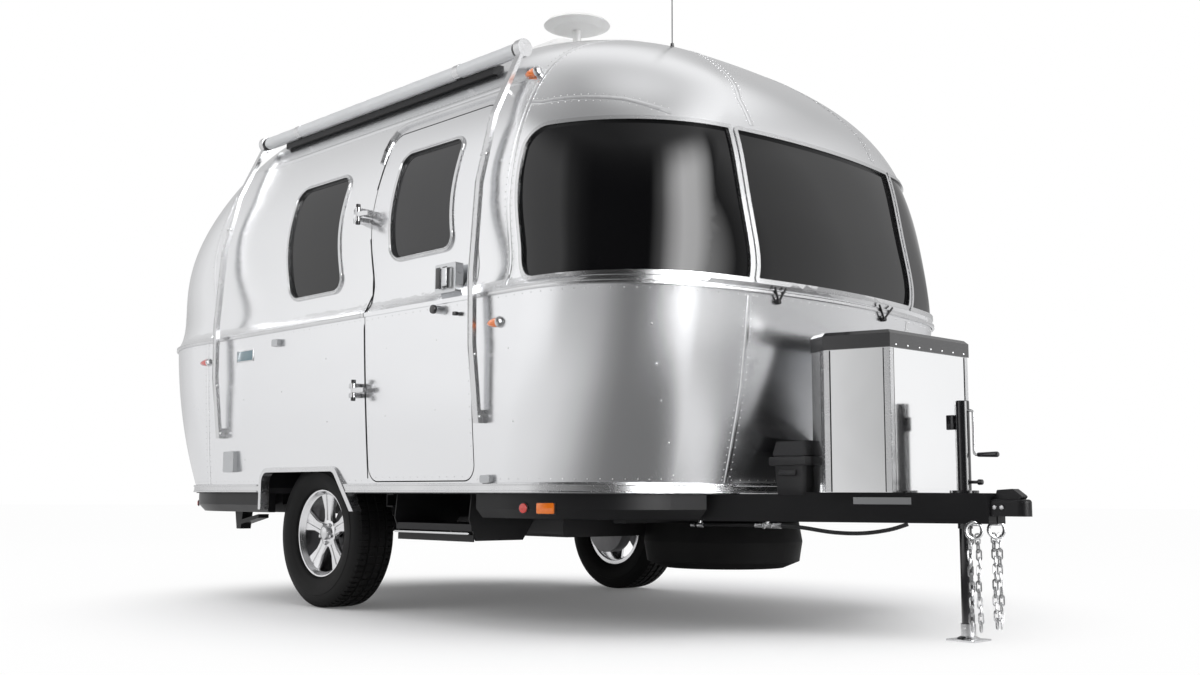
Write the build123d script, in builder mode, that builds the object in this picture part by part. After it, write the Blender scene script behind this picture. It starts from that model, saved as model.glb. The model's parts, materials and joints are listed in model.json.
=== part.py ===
"""Single-axle travel caravan with a riveted aluminium body, parked on its wheels and tongue jack.

Millimetres. +X points to the hitch, +Y to the left, +Z up. The ground is z = 0 and the
origin lies on it, under the middle of the caravan's length.
"""

import os
from math import asin, degrees, hypot, sqrt

from build123d import *

os.makedirs("parts", exist_ok=True)

# Heights of the chassis and the body
FRAME_BOTTOM = 432.0
FRAME_TOP = 534.0
FLOOR_THICKNESS = 26.0
WALL_BOTTOM = FRAME_TOP + FLOOR_THICKNESS
BELT_HEIGHT = 1330.0
WALL = 45.0
END_BOW_RADIUS = 3200.0

# Horizontal outlines of the body below the belt and above it, one row for each height:
# height, half width, front x, rear x, front corner radius, rear corner radius
LOWER_ROWS = [
    (WALL_BOTTOM, 1155.0, 1485.0, -2285.0, 550.0, 800.0),
    (950.0, 1183.0, 1610.0, -2437.0, 560.0, 800.0),
    (BELT_HEIGHT, 1200.0, 1688.0, -2485.0, 575.0, 800.0),
]
UPPER_ROWS = [
    (BELT_HEIGHT, 1200.0, 1688.0, -2485.0, 575.0, 800.0),
    (1670.0, 1175.0, 1667.0, -2445.0, 620.0, 800.0),
    (1970.0, 1125.0, 1602.0, -2341.0, 655.0, 800.0),
    (2200.0, 1038.0, 1476.0, -2164.0, 680.0, 800.0),
    (2380.0, 928.0, 1274.0, -1926.0, 650.0, 780.0),
    (2500.0, 768.0, 1068.0, -1667.0, 560.0, 640.0),
    (2590.0, 540.0, 731.0, -1317.0, 385.0, 430.0),
    (2630.0, 270.0, 313.0, -917.0, 120.0, 200.0),
]

# Where the body's panels meet
FRONT_CAP_X = 930.0
REAR_CAP_X = -1500.0
ROOF_SEAM_HEIGHT = 2240.0

# Windows: frame width, how far frames stand proud, and the pane in its depth
FRAME_WIDTH = 18.0
FRAME_PROUD = 5.0
FRAME_DEPTH = 30.0
PANE_INSET = 8.0
PANE_THICKNESS = 6.0
FRONT_GLASS_Z = (1349.0, 1998.0)
FRONT_GLASS_REAR_X = 975.0
FRONT_GLASS_RADIUS = 110.0
CORNER_GLASS_Y = 548.0
CENTRE_GLASS_Y = 536.0
SIDE_WINDOW_X = (-762.0, -280.0)
LEFT_WINDOW_X = (-150.0, 480.0)
SIDE_WINDOW_Z = (1457.0, 2035.0)
SIDE_WINDOW_RADIUS = 80.0
REAR_WINDOW_Y = 480.0
REAR_WINDOW_Z = (1430.0, 1960.0)
REAR_WINDOW_RADIUS = 90.0

# Door and its window
DOOR_X = (-30.0, 725.0)
DOOR_Z = (583.0, 2165.0)
DOOR_TOP_RADIUS = 70.0
DOOR_GAP = 5.0
DOOR_SKIN = 15.0
DOOR_REBATE = 18.0
DOOR_WINDOW_X = (108.0, 572.0)
DOOR_WINDOW_Z = (1542.0, 2052.0)
DOOR_WINDOW_RADIUS = 70.0
HINGE_AXIS_X = -48.0
HINGE_AXIS_Y = -1236.0
HINGE_HEIGHTS = (985.0, 1775.0)
HINGE_KNUCKLE_RADIUS = 11.0
HINGE_HEIGHT = 62.0

# Wheels and axle
WHEEL_X = -571.5
TYRE_RADIUS = 347.3
TYRE_WIDTH = 225.0
WHEEL_CENTRE_Y = 969.0
RIM_LIP_RADIUS = 207.5
RIM_SEAT_RADIUS = 192.0
RIM_HALF_WIDTH = 84.0
RIM_THICKNESS = 9.0
SPOKE_COUNT = 5
HUB_RADIUS = 62.0
SPINDLE_RADIUS = 22.0
SPINDLE_CLEARANCE = 0.05
AXLE_X = -421.0
AXLE_TUBE = 76.0

# Wheel arches
ARCH_TOP = 656.0
ARCH_REAR_X = -965.0
ARCH_FRONT_TOP_X = -290.0
ARCH_FRONT_FOOT_X = -125.0
ARCH_FOOT = 455.0
ARCH_LIP = 22.0
WHEEL_BOX_X = (-990.0, -160.0)
WHEEL_BOX_TOP = 780.0
WHEEL_BOX_INNER_Y = 786.0
WHEEL_BOX_RADIUS = 60.0
SHEET = 6.0

# Chassis and tongue
RAIL_Y = 700.0
RAIL_WIDTH = 50.0
RAIL_REAR_X = -2060.0
TONGUE_FRONT_X = 2350.0
TONGUE_FRONT_Y = 60.0
TONGUE_SLOPE = 0.47
CROSS_DEPTH = 60.0
JACK_X = 2218.0
JACK_TUBE_RADIUS = 27.5
JACK_TUBE_TOP = 892.0
JACK_LEG_RADIUS = 23.0
JACK_PLATE = 10.0
BALL_RADIUS = 25.4

# Gas-bottle box
BOX_FRONT_X = 2085.0
BOX_REAR_X = 1738.0
BOX_SHOULDER_X = 1830.0
BOX_FRONT_Y = 275.0
BOX_SHOULDER_Y = 338.0
BOX_REAR_Y = 292.0
BOX_BOTTOM = 545.0
BOX_TOP = 1087.0
BOX_SHEET = 5.0
LID_HEIGHT = 68.0
LID_LIP = 6.0
SEAT_CLEARANCE = 0.3

# Battery box beside the gas-bottle box
BATTERY_X = (1558.0, 1725.0)
BATTERY_Y = (-330.0, -20.0)
BATTERY_TOP = 745.0

# Mouldings and skirts
BELT_TRIM = 18.0
BELT_PROUD = 8.0
BASE_TRIM_Z = (538.0, 576.0)
BASE_TRIM_PROUD = 13.0
BASE_TRIM_CLEAR = 1.6
SKIRT_BOTTOM = 440.0
SKIRT_BEND = 476.0
SKIRT_INSET = 14.0
SKIRT_TUCK = 34.0
SKIRT_WIDTH = 66.0
SKIRT_FRONT_GAP_Y = 560.0

# Coupler and jack details
COUPLER_Z = (460.0, 522.0)
COUPLER_WIDTH = 92.0
BALL_X = 2447.0
BALL_HOUSING_RADIUS = 38.0
LATCH_WIDTH = 44.0
JACK_TUBE_BOTTOM = 412.0
JACK_FLANGE_RADIUS = 54.0
CRANK_TOP = 854.0
CRANK_ARM = 167.0
CRANK_REACH = 20.0
CRANK_GRIP = 105.0
JACK_FOOT = 120.0
JACK_FOOT_SHEET = 6.0
JACK_LEG_TOP = 570.0
BOTTLE_RADIUS = 148.0
BOTTLE_HEIGHT = 360.0
BOTTLE_X = 1920.0
BOTTLE_Y = 151.0

# Wheel details
ARM_Y = (750.0, 784.0)
SPINDLE_LENGTH = 198.0
TREAD_WIDTH = 170.0
SPOKE_FACE = 52.0
SPOKE_DEPTH = 26.0
DRUM_RADIUS = 138.0
DRUM_DEPTH = 80.0
CAP_HEIGHT = 26.0
HUB_BORE = 190.0

# Underneath
SPARE_X = 1020.0
SPARE_Z = 335.0
SPARE_TOP = 418.0
SPARE_BAR_HALF = 640.0
TANK_X = (-140.0, 655.0)
TANK_HALF_WIDTH = 620.0
TANK_BOTTOM = 350.0
TANK_TOP = 474.0
RAIL_OUTER = 725.0
STEP_X = (60.0, 590.0)
STEP_Y = 1066.0
STEP_BOTTOM = 342.0
STEADY_X = -1600.0
STEADY_Y = 900.0
STEADY_BOTTOM = 345.0
STEADY_ARM = 210.0

# Lamps: x and height of the side markers
AMBER_MARKER = (873.0, 1202.0)
RED_MARKER = (-1527.0, 1214.0)
LAMP_PROUD = 4.0
TAIL_LAMP_X = -2250.0
TAIL_LAMP_Y = 830.0
TAIL_LAMP_DEPTH = 92.0
TAIL_LAMP_Z = (760.0, 860.0, 960.0)

# Covers on the walls: x, z, width, height, proud
RIGHT_COVERS = [
    (-1253.0, 691.0, 105.0, 105.0, 24.0),
    (-778.0, 1258.0, 56.0, 34.0, 22.0),
    (807.0, 592.0, 60.0, 30.0, 20.0),
]
LEFT_COVERS = [
    (-1100.0, 1560.0, 480.0, 260.0, 14.0),
    (-1290.0, 760.0, 480.0, 260.0, 14.0),
    (330.0, 740.0, 320.0, 320.0, 14.0),
    (760.0, 760.0, 200.0, 160.0, 18.0),
]

# Roof fittings
ROOF_TOP = UPPER_ROWS[-1][0]
AC_X = -150.0
AC_ROWS = [(0.0, 690.0, 520.0), (60.0, 700.0, 525.0), (150.0, 640.0, 470.0), (205.0, 520.0, 330.0)]
VENT_X = -725.0
DISC_X = 375.0
DISC_Y = -300.0
DISC_RADIUS = 160.0
DISC_Z = (178.0, 240.0)
WHIP_X = 1050.0
WHIP_Y = -350.0
WHIP_Z = 2450.0
WHIP_TOP = 2910.0
WHIP_RADIUS = 2.5

# Door fittings
LOCK_X = 569.0
LOCK_Z = 1416.0
LOCK_SIZE = (140.0, 122.0)
LOCK_PROUD = 14.0
KNOB_X = 522.0
KNOB_Z = 1289.0

# Awning
ROLLER_Y = -992.0
ROLLER_Z = 2394.0
ROLLER_RADIUS = 33.0
ARM_X = (-1330.0, 790.0)
ARM_WIDTH = 34.0
ARM_THICKNESS = 18.0
ROLLER_X = (ARM_X[0] + ARM_WIDTH / 2 + SEAT_CLEARANCE, ARM_X[1] - ARM_WIDTH / 2 - SEAT_CLEARANCE)
RAIL_X = (-1130.0, 590.0)
# Side view of an arm's middle line, from its foot up to the roller: y, z
ARM_PATH = [(-1203.0, 815.0), (-1236.0, 1120.0), (-1240.0, 1400.0), (-1212.0, 1780.0),
            (-1140.0, 2080.0), (ROLLER_Y, ROLLER_Z)]


def corner_setback(half_width, radius):
    """Distance from the bowed end back to the corner arc's centre."""
    return END_BOW_RADIUS - sqrt((END_BOW_RADIUS - radius) ** 2 - (half_width - radius) ** 2)


def outline(row, inset=0.0):
    """Closed outline of one row: two sides, four corner arcs and two bowed ends."""
    _, half_width, front, rear, front_corner, rear_corner = row
    half_width -= inset
    front -= inset
    rear += inset
    front_corner -= inset
    rear_corner -= inset
    front_x = front - corner_setback(half_width, front_corner)
    rear_x = rear + corner_setback(half_width, rear_corner)
    front_y = half_width - front_corner
    rear_y = half_width - rear_corner
    front_angle = degrees(asin(front_y / (END_BOW_RADIUS - front_corner)))
    rear_angle = degrees(asin(rear_y / (END_BOW_RADIUS - rear_corner)))
    Line((rear_x, -half_width), (front_x, -half_width))
    CenterArc((front_x, -front_y), front_corner, -90, 90 - front_angle)
    CenterArc((front - END_BOW_RADIUS, 0), END_BOW_RADIUS, -front_angle, 2 * front_angle)
    CenterArc((front_x, front_y), front_corner, front_angle, 90 - front_angle)
    Line((front_x, half_width), (rear_x, half_width))
    CenterArc((rear_x, rear_y), rear_corner, 90, 90 - rear_angle)
    CenterArc((rear + END_BOW_RADIUS, 0), END_BOW_RADIUS, 180 - rear_angle, 2 * rear_angle)
    CenterArc((rear_x, -rear_y), rear_corner, 180 + rear_angle, 90 - rear_angle)


def inset_rows(rows, depth):
    """Rows moved inwards by a depth, square to the side profile."""
    moved = []
    for index, (height, half_width, front, rear, front_corner, rear_corner) in enumerate(rows):
        before = rows[max(index - 1, 0)]
        after = rows[min(index + 1, len(rows) - 1)]
        rise = after[0] - before[0]
        run = after[1] - before[1]
        level = rise / hypot(rise, run)
        lean = -run / hypot(rise, run)
        if height <= BELT_HEIGHT:
            level, lean = 1.0, 0.0
        step = depth * level
        moved.append((
            height - depth * lean,
            half_width - step,
            front - step,
            rear + step,
            front_corner - step,
            rear_corner - step,
        ))
    return moved


def body_loft(rows, depth=0.0):
    """Solid of the body's form, its surface a depth inside the skin."""
    with BuildPart() as form:
        for row in inset_rows(rows, depth):
            with BuildSketch(Plane.XY.offset(row[0])):
                with BuildLine():
                    outline(row)
                make_face()
        loft()
    return form.part


def prism(row, bottom, top, inset=0.0, hole_inset=None):
    """Upright prism of one outline, as a ring when a hole inset is given."""
    with BuildPart() as solid:
        with BuildSketch(Plane.XY.offset(bottom)):
            with BuildLine():
                outline(row, inset)
            make_face()
        extrude(amount=top - bottom)
        if hole_inset is not None:
            with BuildSketch(Plane.XY.offset(bottom)):
                with BuildLine():
                    outline(row, hole_inset)
                make_face()
            extrude(amount=top - bottom, mode=Mode.SUBTRACT)
    return solid.part


def block(x_range, y_range, z_range):
    """Plain block between two corners, used to part the body's panels."""
    size = [high - low for low, high in (x_range, y_range, z_range)]
    centre = [(high + low) / 2 for low, high in (x_range, y_range, z_range)]
    return Pos(*centre) * Box(*size, mode=Mode.PRIVATE)


def side_cutter(x_range, z_range, radius, y_range, shrink=0.0):
    """Rounded opening seen from the side, run through the wall along Y."""
    with BuildPart() as cutter:
        with BuildSketch(Plane.XZ.offset(-y_range[1])):
            centre = ((x_range[0] + x_range[1]) / 2, (z_range[0] + z_range[1]) / 2)
            with Locations(centre):
                RectangleRounded(
                    x_range[1] - x_range[0] - 2 * shrink,
                    z_range[1] - z_range[0] - 2 * shrink,
                    radius - shrink,
                )
        extrude(amount=y_range[1] - y_range[0])
    return cutter.part


def end_cutter(half_width, z_range, radius, x_range, shrink=0.0):
    """Rounded opening seen from the front, run through the wall along X."""
    with BuildPart() as cutter:
        with BuildSketch(Plane.YZ.offset(x_range[0])):
            with Locations((0, (z_range[0] + z_range[1]) / 2)):
                RectangleRounded(
                    2 * (half_width - shrink), z_range[1] - z_range[0] - 2 * shrink, radius - shrink
                )
        extrude(amount=x_range[1] - x_range[0])
    return cutter.part


def corner_cutter(side, shrink=0.0):
    """Opening of a wrap-round front window: rounded behind, square at the mullion."""
    far = 1600.0
    inner = CORNER_GLASS_Y + shrink
    y_range = (-far, -inner) if side < 0 else (inner, far)
    rear = FRONT_GLASS_REAR_X + shrink
    low, high = FRONT_GLASS_Z[0] + shrink, FRONT_GLASS_Z[1] - shrink
    radius = FRONT_GLASS_RADIUS - shrink
    with BuildPart() as cutter:
        with BuildSketch(Plane.XZ.offset(-y_range[1])) as profile:
            with BuildLine():
                Polyline((rear, low), (2 * far, low), (2 * far, high), (rear, high), close=True)
            make_face()
            fillet(profile.vertices().group_by(Axis.X)[0], radius)
        extrude(amount=y_range[1] - y_range[0])
    return cutter.part


def arch_cutter(side, shrink=0.0, foot=ARCH_FOOT):
    """Opening of a wheel arch, slanted at the front."""
    y_range = (-1300.0, -WHEEL_BOX_INNER_Y) if side < 0 else (WHEEL_BOX_INNER_Y, 1300.0)
    slope = (ARCH_FRONT_FOOT_X - ARCH_FRONT_TOP_X) / (ARCH_TOP - ARCH_FOOT)
    top = ARCH_TOP - shrink
    front_top = ARCH_FRONT_TOP_X - shrink * 0.6
    front_foot = front_top + slope * (top - foot)
    with BuildPart() as cutter:
        with BuildSketch(Plane.XZ.offset(-y_range[1])) as profile:
            with BuildLine():
                Polyline(
                    (ARCH_REAR_X + shrink, foot),
                    (ARCH_REAR_X + shrink, top),
                    (front_top, top),
                    (front_foot, foot),
                    close=True,
                )
            make_face()
            fillet(profile.vertices().group_by(Axis.Y)[-1], 70.0 - shrink)
        extrude(amount=y_range[1] - y_range[0])
    return cutter.part


def save(part, name):
    """Write one finished piece as its own file."""
    part.label = name
    export_step(part, f"parts/{name}.step")


def mirrored(part):
    """The same piece on the other side of the caravan."""
    return mirror(part, about=Plane.XZ)


def panel(shell, regions, cuts=()):
    """One body panel: a shell kept inside some regions, with openings cut through it."""
    with BuildPart() as piece:
        add(shell)
        for region in regions:
            add(region, mode=Mode.INTERSECT)
        for cut in cuts:
            add(cut, mode=Mode.SUBTRACT)
    return piece.part


def group(pieces):
    """Like pieces that stand apart, kept together as one sub-part."""
    return Compound(children=[solid for piece in pieces for solid in piece.solids()])


def shell_between(rows, outside, inside):
    """Skin form between two depths below the body's surface."""
    with BuildPart() as shell:
        add(body_loft(rows, outside))
        add(body_loft(rows, inside), mode=Mode.SUBTRACT)
    return shell.part


FAR = 4000.0
RIGHT = (-FAR, -700.0)
LEFT = (700.0, FAR)


def window_cutters(shrink):
    """Openings of the fixed windows, each smaller all round by the same amount."""
    return [
        corner_cutter(-1, shrink),
        corner_cutter(1, shrink),
        end_cutter(CENTRE_GLASS_Y, FRONT_GLASS_Z, 25.0, (1000.0, 2000.0), shrink),
        side_cutter(SIDE_WINDOW_X, SIDE_WINDOW_Z, SIDE_WINDOW_RADIUS, RIGHT, shrink),
        side_cutter(LEFT_WINDOW_X, SIDE_WINDOW_Z, SIDE_WINDOW_RADIUS, LEFT, shrink),
        end_cutter(REAR_WINDOW_Y, REAR_WINDOW_Z, REAR_WINDOW_RADIUS, (-2600.0, -2000.0), shrink),
    ]


# Body shell: one skin form below the belt and one above it, parted where panels meet
lower_shell = shell_between(LOWER_ROWS, 0, WALL)
upper_shell = shell_between(UPPER_ROWS, 0, WALL)
openings = window_cutters(0)
pane_openings = window_cutters(FRAME_WIDTH)
door_opening = side_cutter(DOOR_X, DOOR_Z, DOOR_TOP_RADIUS, RIGHT)
arch_openings = [arch_cutter(-1), arch_cutter(1)]
right_side = block((REAR_CAP_X, FRONT_CAP_X), (-FAR, 0), (0, FAR))
left_side = block((REAR_CAP_X, FRONT_CAP_X), (0, FAR), (0, FAR))
front_end = block((FRONT_CAP_X, FAR), (-FAR, FAR), (0, FAR))
rear_end = block((-FAR, REAR_CAP_X), (-FAR, FAR), (0, FAR))
below_roof = block((-FAR, FAR), (-FAR, FAR), (0, ROOF_SEAM_HEIGHT))
above_roof = block((REAR_CAP_X, FRONT_CAP_X), (-FAR, FAR), (ROOF_SEAM_HEIGHT, FAR))

save(panel(lower_shell, [right_side], [door_opening, arch_openings[0]]), "lower_wall_right")
save(panel(lower_shell, [left_side], [arch_openings[1]]), "lower_wall_left")
save(panel(lower_shell, [front_end]), "lower_front")
save(panel(lower_shell, [rear_end]), "lower_rear")
save(panel(upper_shell, [right_side, below_roof], [door_opening, openings[3]]), "upper_wall_right")
save(panel(upper_shell, [left_side, below_roof], [openings[4]]), "upper_wall_left")
save(panel(upper_shell, [front_end], openings[0:3]), "upper_front")
save(panel(upper_shell, [rear_end], [openings[5]]), "upper_rear")
save(panel(upper_shell, [above_roof]), "roof")

# Windows: a frame in each opening and a dark pane inside it
frame_band = shell_between(UPPER_ROWS, -FRAME_PROUD, FRAME_DEPTH)
pane_band = shell_between(UPPER_ROWS, PANE_INSET, PANE_INSET + PANE_THICKNESS)
frames = [panel(frame_band, [hole], [inner]) for hole, inner in zip(openings, pane_openings)]
save(group(frames), "window_frames")
save(group([panel(pane_band, [inner]) for inner in pane_openings]), "window_glass")

# Door: an outer skin over a smaller inner panel, one window, belt strip, hinges and lock
door_window = side_cutter(DOOR_WINDOW_X, DOOR_WINDOW_Z, DOOR_WINDOW_RADIUS, RIGHT)
door_pane = side_cutter(DOOR_WINDOW_X, DOOR_WINDOW_Z, DOOR_WINDOW_RADIUS, RIGHT, FRAME_WIDTH)
door_skin_area = side_cutter(DOOR_X, DOOR_Z, DOOR_TOP_RADIUS, RIGHT, DOOR_GAP)
door_inner_area = side_cutter(DOOR_X, DOOR_Z, DOOR_TOP_RADIUS, RIGHT, DOOR_GAP + DOOR_REBATE)
belt_ring = prism(LOWER_ROWS[2], BELT_HEIGHT - BELT_TRIM, BELT_HEIGHT,
                  -BELT_PROUD, DOOR_SKIN / 2)
door_layers = [panel(belt_ring, [door_skin_area])]
for rows in (LOWER_ROWS, UPPER_ROWS):
    door_layers.append(panel(shell_between(rows, 0, DOOR_SKIN), [door_skin_area]))
    door_layers.append(panel(shell_between(rows, DOOR_SKIN, WALL), [door_inner_area]))
with BuildPart() as door_panel:
    add(door_layers)
    add(door_window, mode=Mode.SUBTRACT)
save(door_panel.part, "door_panel")
save(panel(frame_band, [door_window], [door_pane]), "door_window_frame")
save(panel(pane_band, [door_pane]), "door_glass")


def skin_y(height):
    """Half width of the skin at a height, on straight lines between the rows."""
    rows = LOWER_ROWS + UPPER_ROWS[1:]
    for low, high in zip(rows, rows[1:]):
        if height <= high[0]:
            share = (height - low[0]) / (high[0] - low[0])
            return low[1] + share * (high[1] - low[1])
    return rows[-1][1]


skin_clear = body_loft(LOWER_ROWS, -SEAT_CLEARANCE) + body_loft(UPPER_ROWS, -SEAT_CLEARANCE)


def seated(piece):
    """A fitting whose back is cut to stand just clear of the curved skin."""
    return panel(piece, [], [skin_clear])


# Door hinges: knuckle on the axis, one leaf on the door and one on the wall
hinge_door_leaves = []
hinge_wall_leaves = []
for hinge_height in HINGE_HEIGHTS:
    back = -(skin_y(hinge_height) - 20)
    middle = HINGE_HEIGHT / 3
    for leaf_bottom in (hinge_height - HINGE_HEIGHT / 2, hinge_height + middle / 2 + 0.5):
        with BuildPart() as wall_leaf:
            with BuildSketch(Plane.XY.offset(leaf_bottom)):
                with Locations((HINGE_AXIS_X, HINGE_AXIS_Y)):
                    Circle(HINGE_KNUCKLE_RADIUS)
                with BuildLine():
                    Polyline(
                        (HINGE_AXIS_X, HINGE_AXIS_Y - HINGE_KNUCKLE_RADIUS),
                        (HINGE_AXIS_X, back),
                        (HINGE_AXIS_X - 55, back),
                        (HINGE_AXIS_X - 55, HINGE_AXIS_Y + 12),
                        close=True,
                    )
                make_face()
            extrude(amount=middle - 0.5)
        hinge_wall_leaves.append(seated(wall_leaf.part))
    with BuildPart() as door_leaf:
        with BuildSketch(Plane.XY.offset(hinge_height - middle / 2)):
            with Locations((HINGE_AXIS_X, HINGE_AXIS_Y)):
                Circle(HINGE_KNUCKLE_RADIUS)
            with BuildLine():
                Polyline(
                    (HINGE_AXIS_X, HINGE_AXIS_Y - HINGE_KNUCKLE_RADIUS),
                    (DOOR_X[0] + 45, HINGE_AXIS_Y + 8),
                    (DOOR_X[0] + 45, back),
                    (DOOR_X[0] + DOOR_GAP, back),
                    (DOOR_X[0] + DOOR_GAP, HINGE_AXIS_Y + HINGE_KNUCKLE_RADIUS),
                    (HINGE_AXIS_X, HINGE_AXIS_Y + HINGE_KNUCKLE_RADIUS),
                    close=True,
                )
            make_face()
        extrude(amount=middle)
    hinge_door_leaves.append(seated(door_leaf.part))
save(group(hinge_wall_leaves), "hinge_wall_leaves")
save(group(hinge_door_leaves), "hinge_door_leaves")

# Lock plate and round handle knob on the door
with BuildPart() as lock_plate:
    with BuildSketch(Plane.XZ.offset(skin_y(LOCK_Z) + LOCK_PROUD)):
        with Locations((LOCK_X, LOCK_Z)):
            RectangleRounded(LOCK_SIZE[0], LOCK_SIZE[1], 10)
    extrude(amount=-40)
    with BuildSketch(Plane.XZ.offset(skin_y(LOCK_Z) + LOCK_PROUD)):
        with Locations((LOCK_X - LOCK_SIZE[0] / 5, LOCK_Z), (LOCK_X + LOCK_SIZE[0] / 5, LOCK_Z)):
            RectangleRounded(LOCK_SIZE[0] / 4, LOCK_SIZE[1] * 0.7, 6)
    extrude(amount=-LOCK_PROUD * 0.6, mode=Mode.SUBTRACT)
with BuildPart() as door_knob:
    with BuildSketch(Plane.XZ.offset(skin_y(KNOB_Z) + 26)):
        with Locations((KNOB_X, KNOB_Z)):
            Circle(17)
    extrude(amount=-50)
save(group([seated(lock_plate.part), seated(door_knob.part)]), "door_lock")

# Belt and base mouldings round the body
door_zone = block((DOOR_X[0], DOOR_X[1]), (-FAR, 0), (0, FAR))
belt_trim = prism(LOWER_ROWS[2], BELT_HEIGHT - BELT_TRIM, BELT_HEIGHT, -BELT_PROUD, -SEAT_CLEARANCE)
save(panel(belt_trim, [], [door_zone]), "belt_trim")
base_trim = prism(LOWER_ROWS[0], BASE_TRIM_Z[0], BASE_TRIM_Z[1], -BASE_TRIM_PROUD, -BASE_TRIM_CLEAR)
save(panel(base_trim, [], arch_openings + [skin_clear]), "base_trim")

# Arch lips inside the two wheel arches, running below the walls
lips = []
for side in (-1, 1):
    lip_y = sorted((side * (skin_y(WALL_BOTTOM) - 30), side * (skin_y(ARCH_TOP) + 10)))
    lip_slab = block((-FAR, FAR), lip_y, (0, FAR))
    lips.append(panel(arch_cutter(side), [lip_slab], [arch_cutter(side, ARCH_LIP, ARCH_FOOT - 10)]))
save(group(lips), "arch_lips")

# Floor with wheel wells, and a sheet box over each wheel
WELL_X = (WHEEL_BOX_X[0] + SHEET, WHEEL_BOX_X[1] - SHEET)
wells = [block(WELL_X, sorted((side * WHEEL_BOX_INNER_Y, side * FAR)), (0, FAR)) for side in (-1, 1)]
save(panel(prism(LOWER_ROWS[0], FRAME_TOP, WALL_BOTTOM), [], wells), "floor")
wheel_boxes = []
box_outer_y = skin_y(WALL_BOTTOM) - WALL - 2
for side in (-1, 1):
    box_y = sorted((side * (WHEEL_BOX_INNER_Y - SHEET), side * box_outer_y))
    well_y = sorted((side * WHEEL_BOX_INNER_Y, side * FAR))
    casing = block(WHEEL_BOX_X, box_y, (WALL_BOTTOM, WHEEL_BOX_TOP))
    well = block(WELL_X, well_y, (WALL_BOTTOM - SHEET, WHEEL_BOX_TOP - SHEET))
    casing = fillet(casing.edges().filter_by(Axis.Y).group_by(Axis.Z)[-1], WHEEL_BOX_RADIUS)
    well = fillet(well.edges().filter_by(Axis.Y).group_by(Axis.Z)[-1], WHEEL_BOX_RADIUS - SHEET)
    wheel_boxes.append(panel(casing, [], [well]))
save(group(wheel_boxes), "wheel_boxes")

# Black skirts under the base moulding, their lower edges rounded under
with BuildPart() as skirt_form:
    add(prism(LOWER_ROWS[0], SKIRT_BEND, FRAME_TOP, SKIRT_INSET))
    for height, inset in ((SKIRT_BEND, SKIRT_INSET), (SKIRT_BOTTOM, SKIRT_INSET + SKIRT_TUCK)):
        with BuildSketch(Plane.XY.offset(height)):
            with BuildLine():
                outline(LOWER_ROWS[0], inset)
            make_face()
    loft()
    add(prism(LOWER_ROWS[0], SKIRT_BOTTOM, FRAME_TOP, SKIRT_INSET + SKIRT_WIDTH), mode=Mode.SUBTRACT)
skirt_front_zone = block((DOOR_X[1] - 12, FAR), (-FAR, FAR), (0, FAR))
tongue_gap = block((0, FAR), (-SKIRT_FRONT_GAP_Y, SKIRT_FRONT_GAP_Y), (0, FAR))
skirt_rear_zone = block((-FAR, ARCH_REAR_X - 1), (-FAR, FAR), (0, FAR))
save(panel(skirt_form.part, [skirt_front_zone], [tongue_gap]), "skirt_front")
save(panel(skirt_form.part, [skirt_rear_zone]), "skirt_rear")

# Chassis: two channel rails and a table of cross members: x, half length
CROSS_MEMBERS = [(-2030, 700), (-1600, 980), (-1040, 980), (-120, 980), (640, 980), (860, 930)]
RAIL_FRONT_X = TONGUE_FRONT_X - (RAIL_Y - TONGUE_FRONT_Y) / TONGUE_SLOPE + RAIL_WIDTH
with BuildPart() as chassis:
    for side in (-1, 1):
        with BuildSketch(Plane.YZ.offset(RAIL_REAR_X)):
            with Locations((side * RAIL_Y, (FRAME_BOTTOM + FRAME_TOP) / 2)):
                Rectangle(RAIL_WIDTH, FRAME_TOP - FRAME_BOTTOM)
            with Locations((side * (RAIL_Y - SHEET), (FRAME_BOTTOM + FRAME_TOP) / 2)):
                Rectangle(RAIL_WIDTH, FRAME_TOP - FRAME_BOTTOM - 2 * SHEET, mode=Mode.SUBTRACT)
        extrude(amount=RAIL_FRONT_X - RAIL_REAR_X)
    for member_x, half_length in CROSS_MEMBERS:
        with BuildSketch(Plane.XZ.offset(-half_length)):
            with Locations((member_x, FRAME_TOP - CROSS_DEPTH / 2)):
                Rectangle(RAIL_WIDTH, CROSS_DEPTH)
            with Locations((member_x + SHEET, FRAME_TOP - CROSS_DEPTH / 2)):
                Rectangle(RAIL_WIDTH, CROSS_DEPTH - 2 * SHEET, mode=Mode.SUBTRACT)
        extrude(amount=2 * half_length)
save(chassis.part, "chassis_frame")

# Tongue: two angled box rails, their front plates and the trays they carry
TONGUE_REAR_X = RAIL_FRONT_X
TONGUE_REAR_Y = TONGUE_FRONT_Y + TONGUE_SLOPE * (TONGUE_FRONT_X - TONGUE_REAR_X)
RAIL_SPREAD = RAIL_WIDTH * sqrt(1 + TONGUE_SLOPE**2)


def tongue_y(x):
    """Half width over the tongue rails' outer faces at a place along the caravan."""
    return TONGUE_FRONT_Y + TONGUE_SLOPE * (TONGUE_FRONT_X - x)


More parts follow.
